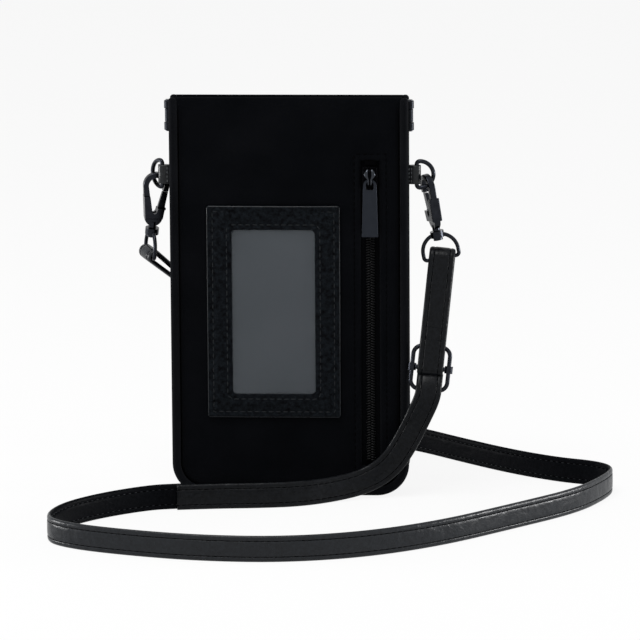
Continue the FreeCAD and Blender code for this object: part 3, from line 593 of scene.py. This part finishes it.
hair = 0.01 * mm
panel_wall = 0.9 * mm
panel_spare = 20 * mm
fold_radius, fold_steps, flap_rows = 1.4 * mm, 8, 4
fold_half, flap_half = 52.3 * mm, 48.9 * mm
panel_columns = [i * 5.1 * mm for i in range(-8, 9)] + [fold_half, flap_half, -fold_half, -flap_half]
panel_rows = [i * 7 * mm for i in range(2, 24)] + [hem_foot + i * 3 * mm for i in range(5)]
seam_steps = (0.9, 1.3, 0.5, 0.3, 1.5, 2.5)
seam_relief = [(0, 1.2), (0.9, 1.2), (2.2, 1.8), (2.7, 1.85), (3.0, 0.8), (4.5, 0.05), (7, -0.12), (16, 0)]
relief_low, relief_high = pouch_top - 9 * mm, pouch_top - 3 * mm
# The band of panel within these distances of the seam takes the painted seam shade.
seam_shade_low, seam_shade_high = 0.8 * mm, 3.1 * mm
zip_left, zip_right, zip_foot, zip_head = 33.2 * mm, 41.8 * mm, 14.5 * mm, 158 * mm
zip_steps = (0, 0.6, 1.2, 2.5, 3.1, 3.7)
zip_relief = [(0, 0.2), (0.6, -0.3), (1.2, -0.34), (2.5, -0.1), (3.1, 0.14), (3.7, 0)]
zip_lip = 0.5 * mm


def zip_gap(p):
    """How far a point of the front panel lies outside the zip's slot."""
    return max(zip_left - p.x, p.x - zip_right, zip_foot - p.z, p.z - zip_head)


def within(edge, half):
    """Whether an edge lies within a distance of the pouch's middle."""
    return all(abs(v.co.x) < half + hair for v in edge.verts)


def make_panel(slotted):
    """A panel with its outer face at Y 0, turned over at the top and down again inside."""
    fold_z = pouch_top - fold_radius
    bm = u_face(0, pouch_top + panel_spare)
    for step in seam_steps:
        middle = max(bm.faces, key=lambda f: f.calc_area())
        bmesh.ops.inset_region(bm, faces=[middle], thickness=step * mm, use_boundary=True,
                               use_even_offset=True)
    cut_up(bm, [fold_z], z_way, clear_outer=True)
    cut_up(bm, panel_columns, x_way)
    cut_up(bm, panel_rows, z_way)
    if slotted:
        cut_up(bm, [zip_left - s * mm for s in zip_steps] + [zip_right + s * mm for s in zip_steps], x_way)
        cut_up(bm, [zip_foot - s * mm for s in zip_steps] + [zip_head + s * mm for s in zip_steps], z_way)
        slot = [f for f in bm.faces if zip_gap(f.calc_center_median()) < 0]
        bmesh.ops.delete(bm, geom=slot, context="FACES")
        rim = [e for e in bm.edges if e.is_boundary and zip_gap((e.verts[0].co + e.verts[1].co) / 2) < hair]
    for v in bm.verts:
        flat_top = ease(relief_low, relief_high, v.co.z)
        v.co.y += level(seam_relief, seam_gap(v.co)) * (1 - flat_top)
        v.co.y += level(zip_relief, max(zip_gap(v.co), 0)) if slotted else 0
    if slotted:
        verts, edges, faces = extrude_on(bm, rim)
        bmesh.ops.translate(bm, verts=verts, vec=(0, zip_lip, 0))
    top = [e for e in bm.edges if within(e, fold_half) and all(abs(v.co.z - fold_z) < hair for v in e.verts)]
    turned = bmesh.ops.spin(bm, geom=top, cent=(0, fold_radius, fold_z), axis=x_way, angle=-math.pi,
                            steps=fold_steps)["geom_last"]
    edges = [g for g in turned if isinstance(g, bmesh.types.BMEdge) and within(g, flap_half)]
    for row in range(flap_rows):
        verts, edges, faces = extrude_on(bm, edges)
        bmesh.ops.translate(bm, verts=verts, vec=(0, 0, (hem_foot - fold_z) / flap_rows))
    # Faces in the band beside the piping, below the hem, take the near-black fabric as painted seam shade.
    for face in bm.faces:
        gaps = [seam_gap(v.co) for v in face.verts]
        below_hem = face.calc_center_median().z < gusset_top
        if min(gaps) > seam_shade_low and max(gaps) < seam_shade_high and below_hem:
            face.material_index = painted_light_slot
    bmesh.ops.recalc_face_normals(bm, faces=bm.faces)
    if sum(f.normal.y * f.calc_area() for f in bm.faces) > 0:
        bmesh.ops.reverse_faces(bm, faces=bm.faces)
    return bm


def give_wall(piece, wall, offset=-1):
    """Give a sheet its thickness, inwards from its outer face unless an offset says otherwise."""
    solidify = piece.modifiers.new("wall", "SOLIDIFY")
    solidify.thickness = wall
    solidify.offset = offset


def round_edges(piece, radius):
    """Round the edges that the sheet's thickness makes."""
    rounded = piece.modifiers.new("rounded", "BEVEL")
    rounded.width = radius
    rounded.segments = 3


mouth_low, mouth_high, bow_half = 161 * mm, 185 * mm, 54 * mm


def mouth_share(p):
    """How far a point goes along with the mouth: most at the middle of its edge, and not at the hinges."""
    bow = math.cos(math.pi / 2 * min(abs(p.x) / bow_half, 1)) ** 2
    return bow * ease(mouth_low, mouth_high, p.z)


piping_half = [(-2.4, 0), (-2.2, 0.7), (-1.6, 1.25), (-0.7, 1.55), (0.2, 1.6), (0.9, 1.3), (1.4, 0.75),
               (1.6, 0)]
piping_profile = in_mm(piping_half + [(x, -y) for x, y in piping_half[-2:0:-1]])
piping_top, piping_depth, piping_tip = pouch_top - 1.5 * mm, 0.5 * mm, 1.4 * mm
tip_steps = (0.3, 0.6, 0.85, 0.97)


def round_ends(frames, reach):
    """Frames past both ends of a line, drawing in to a rounded tip."""
    tips = []
    for t in tip_steps:
        draw_in = math.sqrt(1 - t * t)
        tips.append((t * reach, Matrix.Diagonal((draw_in, draw_in, 1, 1))))
    head = [frames[0] @ Matrix.Translation((0, 0, -d)) @ m for d, m in reversed(tips)]
    return head + frames + [frames[-1] @ Matrix.Translation((0, 0, d)) @ m for d, m in tips]


seam_pitch = 3.1 * mm
seam_row_inset, seam_row_top, seam_row_depth = 2.6 * mm, 164 * mm, 1.65 * mm
layer_inset, lining_depth, lining_wall = 2.3 * mm, 2.8 * mm, 0.5 * mm
layer_columns = [i * 8 * mm for i in range(-6, 7)]
lining_rows = [i * 8 * mm for i in range(1, 22)] + [165 * mm, 169 * mm]
hem_line = [Vector((x * 3.0 * mm, 2.85 * mm, hem_foot + 1.6 * mm)) for x in range(-16, 17)]
for face, place in (("front", on_front), ("back", on_back)):
    panel_shape = settle(make_panel(face == "front"), place)
    panel = new_piece(face + "_panel_fabric", panel_shape, panel_fabric, painted_light=seam_shade_fabric)
    follow(panel, face + "_lip", mouth_share)
    give_wall(panel, panel_wall)
    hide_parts(face + "_panel")

    piping_line = round_ends(seam_frames(0, piping_top, piping_depth), piping_tip)
    piping_shape = settle(sweep(piping_profile, piping_line), place)
    piping = new_piece(face + "_piping_cord", piping_shape, piping_fabric)
    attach(piping, "pouch")
    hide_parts(face + "_piping")

    seam = [f.translation for f in seam_frames(seam_row_inset, seam_row_top, seam_row_depth)]
    seam_row = stitch_rows(face + "_seam_stitches", [(seam, -y_way)], seam_pitch, place, matt_thread)
    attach(seam_row, "pouch")

    layer = u_face(layer_inset, hem_foot)
    cut_up(layer, layer_columns, x_way)
    cut_up(layer, lining_rows, z_way)
    bmesh.ops.translate(layer, verts=layer.verts, vec=(0, lining_depth, 0))
    bmesh.ops.reverse_faces(layer, faces=layer.faces)
    lining = new_piece(face + "_lining_cloth", settle(layer, place), lining_fabric)
    follow(lining, face + "_lip", mouth_share)
    give_wall(lining, lining_wall)
    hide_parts(face + "_lining")

    hem_stitches = stitch_rows(face + "_hem_stitches", [(hem_line, y_way)], seam_pitch, place, matt_thread)
    follow(hem_stitches, face + "_lip", mouth_share)


def foam():
    """Grey polyether foam: open cells of half a millimetre, quite matt."""
    material, tree, place = new_surface("grey_padding_foam")
    cell = add(tree, "TexVoronoi", {"Vector": place, "Scale": 1 / (0.6 * mm)}).outputs["Distance"]
    bump = bumped(tree, cell, 0.2 * mm, 0.6)
    return cover(material, tone(tree, cell, "#2b2b2e", "#4a4a4f"), 0.95, {"Normal": bump})


foam_grey = foam()
pad_inset, pad_drop, pad_wall = 2.1 * mm, 0.4 * mm, 1.05 * mm
bag_left, bag_right, bag_foot, bag_head = -4.5 * mm, 44.9 * mm, 10.5 * mm, 162 * mm
pad_rows = [i * 8 * mm for i in range(2, 22)] + [bag_foot, bag_head, 165 * mm, 168 * mm]


def over_bag(p):
    """Whether a point of the front padding lies over the zip's inner bag."""
    return bag_left < p.x < bag_right and bag_foot < p.z < bag_head


for face, place in (("front", on_front), ("back", on_back)):
    pad = u_face(layer_inset + pad_inset, hem_foot - pad_drop)
    cut_up(pad, layer_columns + [bag_left, bag_right], x_way)
    cut_up(pad, pad_rows, z_way)
    if face == "front":
        bag_room = [f for f in pad.faces if over_bag(f.calc_center_median())]
        bmesh.ops.delete(pad, geom=bag_room, context="FACES")
    bmesh.ops.translate(pad, verts=pad.verts, vec=(0, pad_wall, 0))
    padding = new_piece(face + "_foam_pad", settle(pad, place), foam_grey)
    follow(padding, face + "_lip", mouth_share)
    give_wall(padding, pad_wall)
    round_edges(padding, 0.35 * mm)
    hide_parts(face + "_padding")

gusset_wall, gusset_sag, gusset_out = 1.1 * mm, 0.45 * mm, 0.8 * mm
gusset_half = 7.7 * mm
gusset_face = [(-gusset_sag * (1 - s * s), s) for s in [i / 5 for i in range(-5, 6)]]
gusset_profile = gusset_face + [(x - gusset_wall, s) for x, s in reversed(gusset_face)]
gusset_frames = []
for spot in seam_frames(-gusset_out, gusset_top, 0):
    half_depth = gusset_half - lean_slope * spot.translation.z
    gusset_frames.append(spot @ Matrix.Diagonal((1, half_depth, 1, 1)))
gusset = new_piece("gusset_strip", sweep(gusset_profile, gusset_frames), panel_fabric)
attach(gusset, "pouch")
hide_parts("gusset")

# Squeeze frame. A spring steel blade lies in each hem and the two are hinged at both sides by knuckles on
# a pin, outside the seams. Pressing the sides in bows the blades apart and opens the mouth.
blade_y, blade_foot, blade_top = -3.783 * mm, 171.3 * mm, 185.1 * mm
blade_bend, blade_wall, blade_cut = 49.5 * mm, 0.45 * mm, 2.76 * mm
knuckle_x, knuckle_radius, knuckle_gap = 55.6 * mm, 2.0 * mm, 0.2 * mm
end_knuckle, middle_less, eye_round = 3.7 * mm, 0.35 * mm, 0.3 * mm
arm_short, arm_share = 1.6 * mm, 0.26


def metal(name, dark, light, rough):
    """Black nickel plate on steel or zinc: dark and satin, with faint wear that breaks up its highlights."""
    material, tree, place = new_surface(name)
    wear = noise(tree, place, 2.381 * mm, 5.0, 0.6)
    bump = bumped(tree, noise(tree, place, 0.3846 * mm, 2.0), 0.03 * mm, 0.08)
    matt = spread(tree, wear, 0.3, 0.7, rough - 0.06, rough + 0.08)
    return cover(material, tone(tree, wear, dark, light), matt, {"Metallic": 1.0, "Normal": bump})


black_nickel = metal("black_nickel_plate", "#15161a", "#2c2e33", rough=0.26)
blued_steel = metal("blued_spring_steel", "#101114", "#222428", rough=0.34)


def plate_solid(node, material):
    """Give a solid that is carried over its material."""
    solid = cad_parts[node]
    solid.data.materials.clear()
    solid.data.materials.append(material)


def knuckle(bm, side, foot, head, radius):
    """Add one rolled eye of a blade."""
    middle = Matrix.Translation((side * knuckle_x, 0, (foot + head) / 2))
    made = bmesh.ops.create_cone(bm, cap_ends=True, segments=28, radius1=radius, radius2=radius,
                                 depth=head - foot, matrix=middle)["verts"]
    edges = dict.fromkeys(e for v in made for e in v.link_edges)
    round_off(bm, [e for e in edges if abs(e.verts[0].co.z - e.verts[1].co.z) < hair], eye_round, 3)


for face, toward in (("front", 1), ("back", -1)):
    bend_y = toward * blade_y
    arm = Vector((knuckle_x - arm_short, bend_y * arm_share, 0))
    bow_line = [Vector((i * blade_bend / 12, bend_y, 0)) for i in range(-12, 13)]
    blade_line = [Vector((-arm.x, arm.y, 0))] + bow_line + [arm]
    blade_frames = [upright(p, z_way, along) for p, along in zip(blade_line, directions(blade_line))]
    half = blade_wall / 2
    strip = [(blade_foot, -half), (blade_top, -half), (blade_top, half), (blade_foot, half)]
    steel = sweep(strip, blade_frames)
    cut_up(steel, [blade_foot + i * blade_cut for i in range(1, 5)], z_way)
    for side in (1, -1):
        if face == "front":
            knuckle(steel, side, blade_foot, blade_foot + end_knuckle, knuckle_radius)
            knuckle(steel, side, blade_top - end_knuckle, blade_top, knuckle_radius)
        else:
            clear = end_knuckle + knuckle_gap
            knuckle(steel, side, blade_foot + clear, blade_top - clear, knuckle_radius - middle_less)
    bmesh.ops.recalc_face_normals(steel, faces=steel.faces)
    blade = new_piece(face + "_spring_blade", steel, blued_steel, smooth=False)
    follow(blade, face + "_lip", mouth_share)
    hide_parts(face + "_blade")
for side in ("right", "left"):
    plate_solid("frame_pin_" + side, black_nickel)

# Window pocket. A leather frame is sewn to the front panel along its sides and foot, over a clear film.
# Its top edge stands a little open, so that a card can be pushed down behind the film.
window_x, window_z = -7.3 * mm, 87.25 * mm
window_half_x, window_half_z = 30.8 * mm, 49.75 * mm
view_half_x, view_half_z = 19.2 * mm, 38.6 * mm
frame_leather = leather("grained_window_leather", "#000001", "#14181c", grain=0.9 * mm, depth=0.6 * mm,
                        wrinkle=0.25 * mm, gloss=0.45, shine=0.03)
# A thin band round the frame's outer edge: a burnished edge with its own shine, and lighter in tone than the
# frame as a painted highlight.
burnished_edge_and_highlight = leather("burnished_edge_highlight_leather", "#101316", "#1c2024", grain=0.7 * mm, depth=0.05 * mm,
                         wrinkle=0.05 * mm, gloss=0.3, shine=0.2)
frame_thread = sewing_thread("grey_sewing_thread", "#07090b", "#191d21", gloss=0.45, shine=0.15)


def raised_loop(half_x, half_z, radius, rise):
    """The points of a rounded rectangle, raised from the panel."""
    line = outline(flat_face(half_x, -half_z, half_z, radius, 6, all_round=True))
    return [p - y_way * rise for p in line]


def ring_stack(loops):
    """A closed ring made of loops of points, each bridged to the next and the last to the first."""
    bm = bmesh.new()
    rows = []
    for loop in loops:
        verts = [bm.verts.new(p) for p in loop]
        rows.append([bm.edges.new((a, b)) for a, b in zip(verts, verts[1:] + verts[:1])])
    for a, b in zip(rows, rows[1:] + rows[:1]):
        bmesh.ops.bridge_loops(bm, edges=a + b)
    bmesh.ops.recalc_face_normals(bm, faces=bm.faces)
    return bm


outer_relief = [(0, 1.3), (0.1, 1.52), (0.35, 1.64), (1.0, 1.7), (2.1, 1.68), (2.7, 1.45), (3.3, 1.72),
                (4.6, 1.86)]
inner_relief = [(0, 1.6), (0.1, 1.8), (0.35, 1.92), (0.9, 1.95), (1.8, 1.92), (2.4, 1.68), (3.0, 1.92),
                (3.9, 1.94)]
outer_radius, least_radius, view_radius, radius_growth = 1.2, 0.3, 2, 0.6
panel_clearance, sill_rise, tuck_rise = 0.02 * mm, 1.25 * mm, 1.2 * mm
tuck_reach, tuck_radius = 5 * mm, 4 * mm
loops = [raised_loop(window_half_x, window_half_z, outer_radius * mm, panel_clearance)]
for gap, rise in outer_relief:
    radius = max(outer_radius - gap, least_radius) * mm
    loops.append(raised_loop(window_half_x - gap * mm, window_half_z - gap * mm, radius, rise * mm))
for gap, rise in reversed(inner_relief):
    radius = (view_radius + gap * radius_growth) * mm
    loops.append(raised_loop(view_half_x + gap * mm, view_half_z + gap * mm, radius, rise * mm))
loops.append(raised_loop(view_half_x, view_half_z, view_radius * mm, sill_rise))
loops.append(raised_loop(view_half_x + tuck_reach, view_half_z + tuck_reach, tuck_radius, tuck_rise))
surround = ring_stack(loops)
cut_up(surround, [i * 5.7 * mm for i in range(-5, 6)], x_way)
cut_up(surround, [i * 8.3 * mm for i in range(-5, 6)], z_way)
# Faces within this reach of the frame's outer edge take the lighter leather as a painted highlight.
edge_highlight_reach = 0.4 * mm
for face in surround.faces:
    middle = face.calc_center_median()
    if max(abs(middle.x) - window_half_x, abs(middle.z) - window_half_z) > -edge_highlight_reach:
        face.material_index = painted_light_slot
mouth_lift, lift_height, lift_width, sewn_width = 0.55 * mm, 9 * mm, 12 * mm, 2 * mm
for v in surround.verts:
    near_top = ease(window_half_z - lift_height, window_half_z, v.co.z)
    between_seams = ease(0, lift_width, window_half_x - sewn_width - abs(v.co.x))
    v.co.y -= mouth_lift * near_top * between_seams
on_window = on_front @ Matrix.Translation((window_x, 0, window_z))
surround = settle(surround, on_window)
window_surround = new_piece("window_leather_frame", surround, frame_leather, painted_light=burnished_edge_and_highlight)
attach(window_surround, "pouch")
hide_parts("window_frame")

window_rows = []
window_pitch = 3.3 * mm
outer_row, inner_row, row_proud = 2.7 * mm, 2.4 * mm, 0.02 * mm
for half_x, half_z, radius, table, gap in (
    (window_half_x - outer_row, window_half_z - outer_row, 0.4 * mm, outer_relief, outer_row),
    (view_half_x + inner_row, view_half_z + inner_row, 3 * mm, inner_relief, inner_row),
):
    line = raised_loop(half_x, half_z, radius, level(table, gap) + row_proud)
    window_rows.append((line + line[:1], -y_way))
window_stitches = stitch_rows("window_stitches", window_rows, window_pitch, on_window, frame_thread)
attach(window_stitches, "pouch")


def clear_film():
    """Frosted clear film: it greys what lies behind it and shows a soft, slightly wavy shine."""
    material, tree, place = new_surface("frosted_clear_film")
    wave = noise(tree, place, 14.29 * mm, 2.0)
    haze = noise(tree, place, 33.33 * mm, 3.0)
    return cover(material, tone(tree, haze, "#4a4f54", "#5b6065"), 0.5, {
        "Normal": bumped(tree, wave, 0.3 * mm, 0.25), "Alpha": 0.62, "Specular IOR Level": 0.2})


def slab(bm, low, high, round_by):
    """Add a block between two opposite corners, with its edges rounded."""
    middle = (Vector(low) + Vector(high)) / 2
    size = [abs(b - a) for a, b in zip(low, high)]
    shape = Matrix.Translation(middle) @ Matrix.Diagonal((*size, 1))
    verts = bmesh.ops.create_cube(bm, size=1, matrix=shape)["verts"]
    round_off(bm, list(dict.fromkeys(e for v in verts for e in v.link_edges)), round_by, 3)


film_half_x, film_half_z, film_low, film_high = 23.1 * mm, 42.5 * mm, 0.92 * mm, 1.18 * mm
film_sheet = bmesh.new()
slab(film_sheet, (-film_half_x, -film_high, -film_half_z), (film_half_x, -film_low, film_half_z), 0.1 * mm)
film = new_piece("window_clear_film", settle(film_sheet, on_window), clear_film(), smooth=False)
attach(film, "pouch")
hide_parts("window_film")

# Zip pocket. A coil zip is sewn behind a slot in the front panel, over a flat inner bag.
# Two rows of nylon coil lie on woven tapes, and a black slider with a plated bail carries the pull.
zip_x = 37.5 * mm
zip_row_gap, zip_row_depth = 3.1 * mm, 0.1 * mm
row_left, row_right = zip_left - zip_row_gap, zip_right + zip_row_gap
row_foot, row_head = zip_foot - zip_row_gap, zip_head + zip_row_gap
zip_corners = [(row_left, row_head), (row_left, row_foot), (row_right, row_foot), (row_right, row_head)]
row_line = [Vector((x, zip_row_depth, z)) for x, z in zip_corners + zip_corners[:1]]
zip_stitches = stitch_rows("zip_slot_stitches", [(row_line, -y_way)], seam_pitch, on_front, matt_thread)
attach(zip_stitches, "pouch")


def zip_tape_weave():
    """Woven polyester zip tape: a fine black herringbone, matt."""
    material, tree, place = new_surface("woven_zip_tape")
    rib = ribs(tree, place, 0.8 * mm, 1.5)
    bump = bumped(tree, rib, 0.1 * mm, 0.4)
    base = tone(tree, rib, "#020203", "#060709")
    return cover(material, base, 0.8, {"Normal": bump, "Specular IOR Level": 0.02})


def coil_nylon():
    """Black nylon monofilament: smooth and slightly glossy, a shade worn along the crests."""
    material, tree, place = new_surface("nylon_zip_coil")
    wear = noise(tree, place, 1.111 * mm, 3.0)
    return cover(material, tone(tree, wear, "#020203", "#08090a"), 0.3, {"Specular IOR Level": 0.09})


tape_weave, nylon = zip_tape_weave(), coil_nylon()
tape_near, tape_far, tape_front, tape_rear = 0.2 * mm, 7.2 * mm, 1.02 * mm, 1.48 * mm
coil_pitch, coil_reach, coil_depth, coil_lean = 1.25 * mm, 0.95 * mm, 0.4 * mm, math.radians(14)
coil_end = 2.6 * mm
coil_foot, coil_head = zip_foot + coil_end, zip_head - coil_end
coil_bead = Matrix.Diagonal((1.3 * mm, 0.68 * mm, 0.5 * mm, 1))
for side, toward in (("right", 1), ("left", -1)):
    strip = bmesh.new()
    slab(strip, (zip_x + toward * tape_near, tape_front, bag_foot),
         (zip_x + toward * tape_far, tape_rear, bag_head), 0.15 * mm)
    tape = new_piece("zip_tape_cloth_" + side, settle(strip, on_front), tape_weave, smooth=False)
    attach(tape, "pouch")
    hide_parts("zip_tape_" + side)

    coil = bmesh.new()
    stagger = coil_pitch / 2 if side == "left" else 0
    turn = Matrix.Rotation(toward * coil_lean, 4, "Y")
    for i in range(int((coil_head - coil_foot) / coil_pitch)):
        height = coil_foot + i * coil_pitch + stagger
        spot = Matrix.Translation((zip_x + toward * coil_reach, coil_depth, height))
        add_bead(coil, spot @ turn @ coil_bead)
    teeth = new_piece("zip_coil_" + side, settle(coil, on_front), nylon)
    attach(teeth, "pouch")
    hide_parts("zip_teeth_" + side)

bag_front, bag_rear = 1.52 * mm, 2.03 * mm
bag_shape = bmesh.new()
slab(bag_shape, (bag_left, bag_front, bag_foot), (bag_right, bag_rear, bag_head), 0.2 * mm)
pocket_bag = new_piece("zip_inner_bag", settle(bag_shape, on_front), lining_fabric, smooth=False)
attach(pocket_bag, "pouch")
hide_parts("zip_pocket_bag")

slider_black = metal("black_lacquered_zinc", "#030304", "#070708", rough=0.4)
polished_nickel = metal("polished_black_nickel", "#2b2d31", "#3b3e43", rough=0.2)
for end in ("top", "bottom"):
    plate_solid("zip_stop_" + end, slider_black)

slider_foot, slider_head, slider_half = 145.4 * mm, 155.4 * mm, 3.4 * mm
plate_front, plate_rear = -1.5 * mm, -0.5 * mm
flange_near, flange_far, flange_end = 2.35 * mm, 3.45 * mm, 0.8 * mm
flange_front, flange_rear = -0.9 * mm, 0.75 * mm
slider_shape = bmesh.new()
slab(slider_shape, (zip_x - slider_half, plate_front, slider_foot),
     (zip_x + slider_half, plate_rear, slider_head), 0.45 * mm)
for toward in (1, -1):
    slab(slider_shape, (zip_x + toward * flange_near, flange_front, slider_foot + flange_end),
         (zip_x + toward * flange_far, flange_rear, slider_head - flange_end), 0.3 * mm)
bail_points = [(-1.2, 147.3), (-3.4, 147.1), (-4.9, 147.8), (-5.2, 150.6), (-5.0, 153.6), (-3.2, 155.0),
               (-1.2, 154.6)]
bail_line = spline_points([Vector((zip_x, y * mm, z * mm)) for y, z in bail_points])
swell_low, swell_high, swell = 149.6 * mm, 151.8 * mm, 1.35
taper_low, taper_high, taper = 152.6 * mm, 155.0 * mm, 0.55
bail_frames = []
for point, along in zip(bail_line, directions(bail_line)):
    drawn_in = 1 - taper * ease(taper_low, taper_high, point.z)
    dome = 1 + swell * ease(swell_low, swell_high, point.z) * drawn_in
    bail_frames.append(upright(point, x_way, along) @ Matrix.Diagonal((dome, 1, 1, 1)))
bail_half = [(1.12, 0.15), (1.0, -0.2), (0.65, -0.52), (0.38, -0.45), (0.2, -0.12)]
bail_back = [(-0.9, 0.3), (0, 0.2), (0.9, 0.3)]
bail_profile = in_mm(bail_half + [(-x, y) for x, y in reversed(bail_half)] + bail_back)
# The middle strip of the bail's crown takes the near-black lacquer as painted shade down its groove.
bail_groove_shade = (-1, 0.34 * mm)
slider = new_piece("zip_slider_body", settle(slider_shape, on_front), slider_black)
crown_shape = settle(sweep(bail_profile, bail_frames, bail_groove_shade), on_front)
crown = new_piece("zip_slider_crown", crown_shape, polished_nickel, painted_light=slider_black)
for piece in (slider, crown):
    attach(piece, "zip_slider")
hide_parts("zip_slider")

pull_metal = metal("satin_gunmetal_pull", "#22252a", "#2d3036", rough=0.42)
pull_rows = [
    (122.9, 3.7, 1.3), (133.0, 3.46, 1.3), (144.9, 3.16, 1.3), (145.2, 3.15, 1.62), (145.6, 3.14, 1.75),
    (146.8, 3.1, 1.75), (147.6, 2.98, 1.7), (148.1, 2.78, 1.5), (148.4, 2.6, 1.2), (149.0, 2.2, 1.0),
    (149.5, 1.5, 0.7), (149.8, 0.9, 0.4), (149.9, 0.4, 0.2)]
pull_y, pull_wall = -2.7 * mm, 1.4 * mm
eye_low, eye_high = 145, 148.5


def make_pull():
    """The tab as three columns of faces, the middle one left open where the bail passes through."""
    bm = bmesh.new()
    last = []
    for z, half, hole in pull_rows:
        row = [bm.verts.new((zip_x + x * mm, pull_y, z * mm)) for x in (-half, -hole, hole, half)]
        for i in range(3 if last else 0):
            if i != 1 or not eye_low < z < eye_high:
                bm.faces.new((last[i], last[i + 1], row[i + 1], row[i]))
        last = row
    bmesh.ops.delete(bm, geom=[v for v in bm.verts if not v.link_faces], context="VERTS")
    bmesh.ops.recalc_face_normals(bm, faces=bm.faces)
    return bm


pull = new_piece("zip_pull_tab", settle(make_pull(), on_front), pull_metal, smooth=False)
give_wall(pull, pull_wall, offset=0)
round_edges(pull, 0.25 * mm)
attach(pull, "zip_pull")
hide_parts("zip_pull")

# Strap fittings. At each side a leather tab is sewn into the seam and folded round the bar of a D-ring.
# A plated snap hook with a sprung gate hangs in the D-ring, and a swivel ring under it takes the strap.
tab_leather = leather("tab_leather", "#0c0e10", "#181b1e", grain=0.7 * mm, depth=0.07 * mm,
                      wrinkle=0.3 * mm, gloss=0.32, shine=0.25)
tab_thread = sewing_thread("pale_bar_tack_thread", "#2c2f32", "#5a5d60", gloss=0.45, shine=0.3)
ring_bar_x, ring_z, tab_half = 58.8 * mm, 150.6 * mm, 4.4 * mm
tab_side = [(-5.6, -1.15), (-3.2, -1.3), (-1.6, -1.75), (-0.4, -1.96), (0.7, -1.84), (1.55, -1.2), (1.96, 0)]
tab_profile = in_mm(tab_side + [(x, -y) for x, y in tab_side[-2::-1]])
tab_levels = ((-1, 0.8), (-0.96, 0.93), (-0.9, 1), (0.9, 1), (0.96, 0.93), (1, 0.8))
tab_frames = [Matrix.Translation((0, 0, t * tab_half)) @ Matrix.Diagonal((1, s, 1, 1)) for t, s in tab_levels]
tack_places, tack_depth, tack_half, tack_pitch = (-2.4 * mm, -3.5 * mm), 1.5 * mm, 3.9 * mm, 1.9 * mm
tab_rows = []
for face in (1, -1):
    for x in tack_places:
        tack_line = [Vector((x, face * tack_depth, z)) for z in (-tack_half, tack_half)]
        tab_rows.append((tack_line, y_way * face))
for side, toward in (("right", 1), ("left", -1)):
    to_side = Matrix.Translation((toward * ring_bar_x, 0, ring_z)) @ Matrix.Scale(toward, 4, x_way)
    tab = new_piece("leather_tab_" + side, settle(sweep(tab_profile, tab_frames), to_side), tab_leather)
    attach(tab, "pouch")
    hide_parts("strap_tab_" + side)
    tab_stitches = stitch_rows("tab_stitches_" + side, tab_rows, tack_pitch, to_side, tab_thread)
    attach(tab_stitches, "pouch")
    for node in ("d_ring_", "hook_body_", "hook_gate_", "gate_pin_", "swivel_ring_"):
        plate_solid(node + side, black_nickel)
    plate_solid("gate_spring_" + side, blued_steel)

# Strap ends. On the right the strap is a loop through the swivel ring and round the bar of a wire slider.
# On the left its end is folded round the other swivel ring and sewn to itself behind the pouch.
for node in ("slider_frame", "slider_bar"):
    plate_solid(node, black_nickel)


def spaced(start, end, steps):
    """Values at even steps from start to end."""
    return [start + (end - start) * k / steps for k in range(steps + 1)]


def fold_frames(top_radius, foot_radius, length, place):
    """Frames along the middle of a strap folded round a bar at a place and closing a length below it."""
    slant = math.asin((top_radius - foot_radius) / length)
    frames = []
    for turns, radius, drop in (
        (spaced(1.5 * math.pi, 2 * math.pi - slant, 5), foot_radius, length),
        (spaced(-slant, math.pi + slant, 16), top_radius, 0),
        (spaced(math.pi + slant, 1.5 * math.pi, 5), foot_radius, length),
    ):
        for a in turns:
            out = Vector((0, math.cos(a), math.sin(a)))
            along = Vector((0, -math.sin(a), math.cos(a)))
            frames.append(place @ upright(out * radius - z_way * drop, x_way, along))
    return frames


def make_fold(name, frames, node, body, face, rear):
    """A folded strap end with its edge stitches."""
    band = new_piece(name, sweep(strap_profile, frames, groove_shade_reach), face, rear=rear, painted_light=groove_shade_leather)
    rows = bmesh.new()
    sew_edges(rows, frames, 1)
    stitches = new_piece(name + "_stitches", rows, waxed_thread)
    for piece in (band, stitches):
        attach(piece, body)
    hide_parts(node)


right_bar = Vector((70.388, 0, 111.398)) * mm
loop_hang = Vector((-5.19, -11, -49.8)) * mm
loop_place = upright(right_bar, x_way, -loop_hang)
loop_top, loop_foot = 3.9 * mm, 2.4 * mm
loop_frames = fold_frames(loop_top, loop_foot, loop_hang.length, loop_place)
make_fold("strap_loop_band", loop_frames, "strap_loop", "right_ring", strap_lining, strap_leather)
cross_places, cross_half, cross_pitch, cross_out = (0.63, 0.74), 4.8 * mm, 1.6 * mm, 1.12 * mm
cross_rows = []
for down in cross_places:
    depth = loop_top + (loop_foot - loop_top) * down + cross_out
    row = [Vector((x, -depth, -down * loop_hang.length)) for x in (-cross_half, cross_half)]
    cross_rows.append((row, -y_way))
cross_stitches = stitch_rows("strap_loop_cross_stitches", cross_rows, cross_pitch, loop_place, waxed_thread)
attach(cross_stitches, "right_ring")

left_bar = Vector((-65.866, 8.421, 111.287)) * mm
left_place = upright(left_bar, Vector((0.3420, -0.9397, 0)), Vector((-0.620, -0.461, 0.635)))
end_top, end_foot, end_length = 2.3 * mm, 1.5 * mm, 22.5 * mm
end_frames = fold_frames(end_top, end_foot, end_length, left_place)
make_fold("strap_end_band", end_frames, "strap_end_fold", "left_ring", strap_leather, strap_backing_shaded)
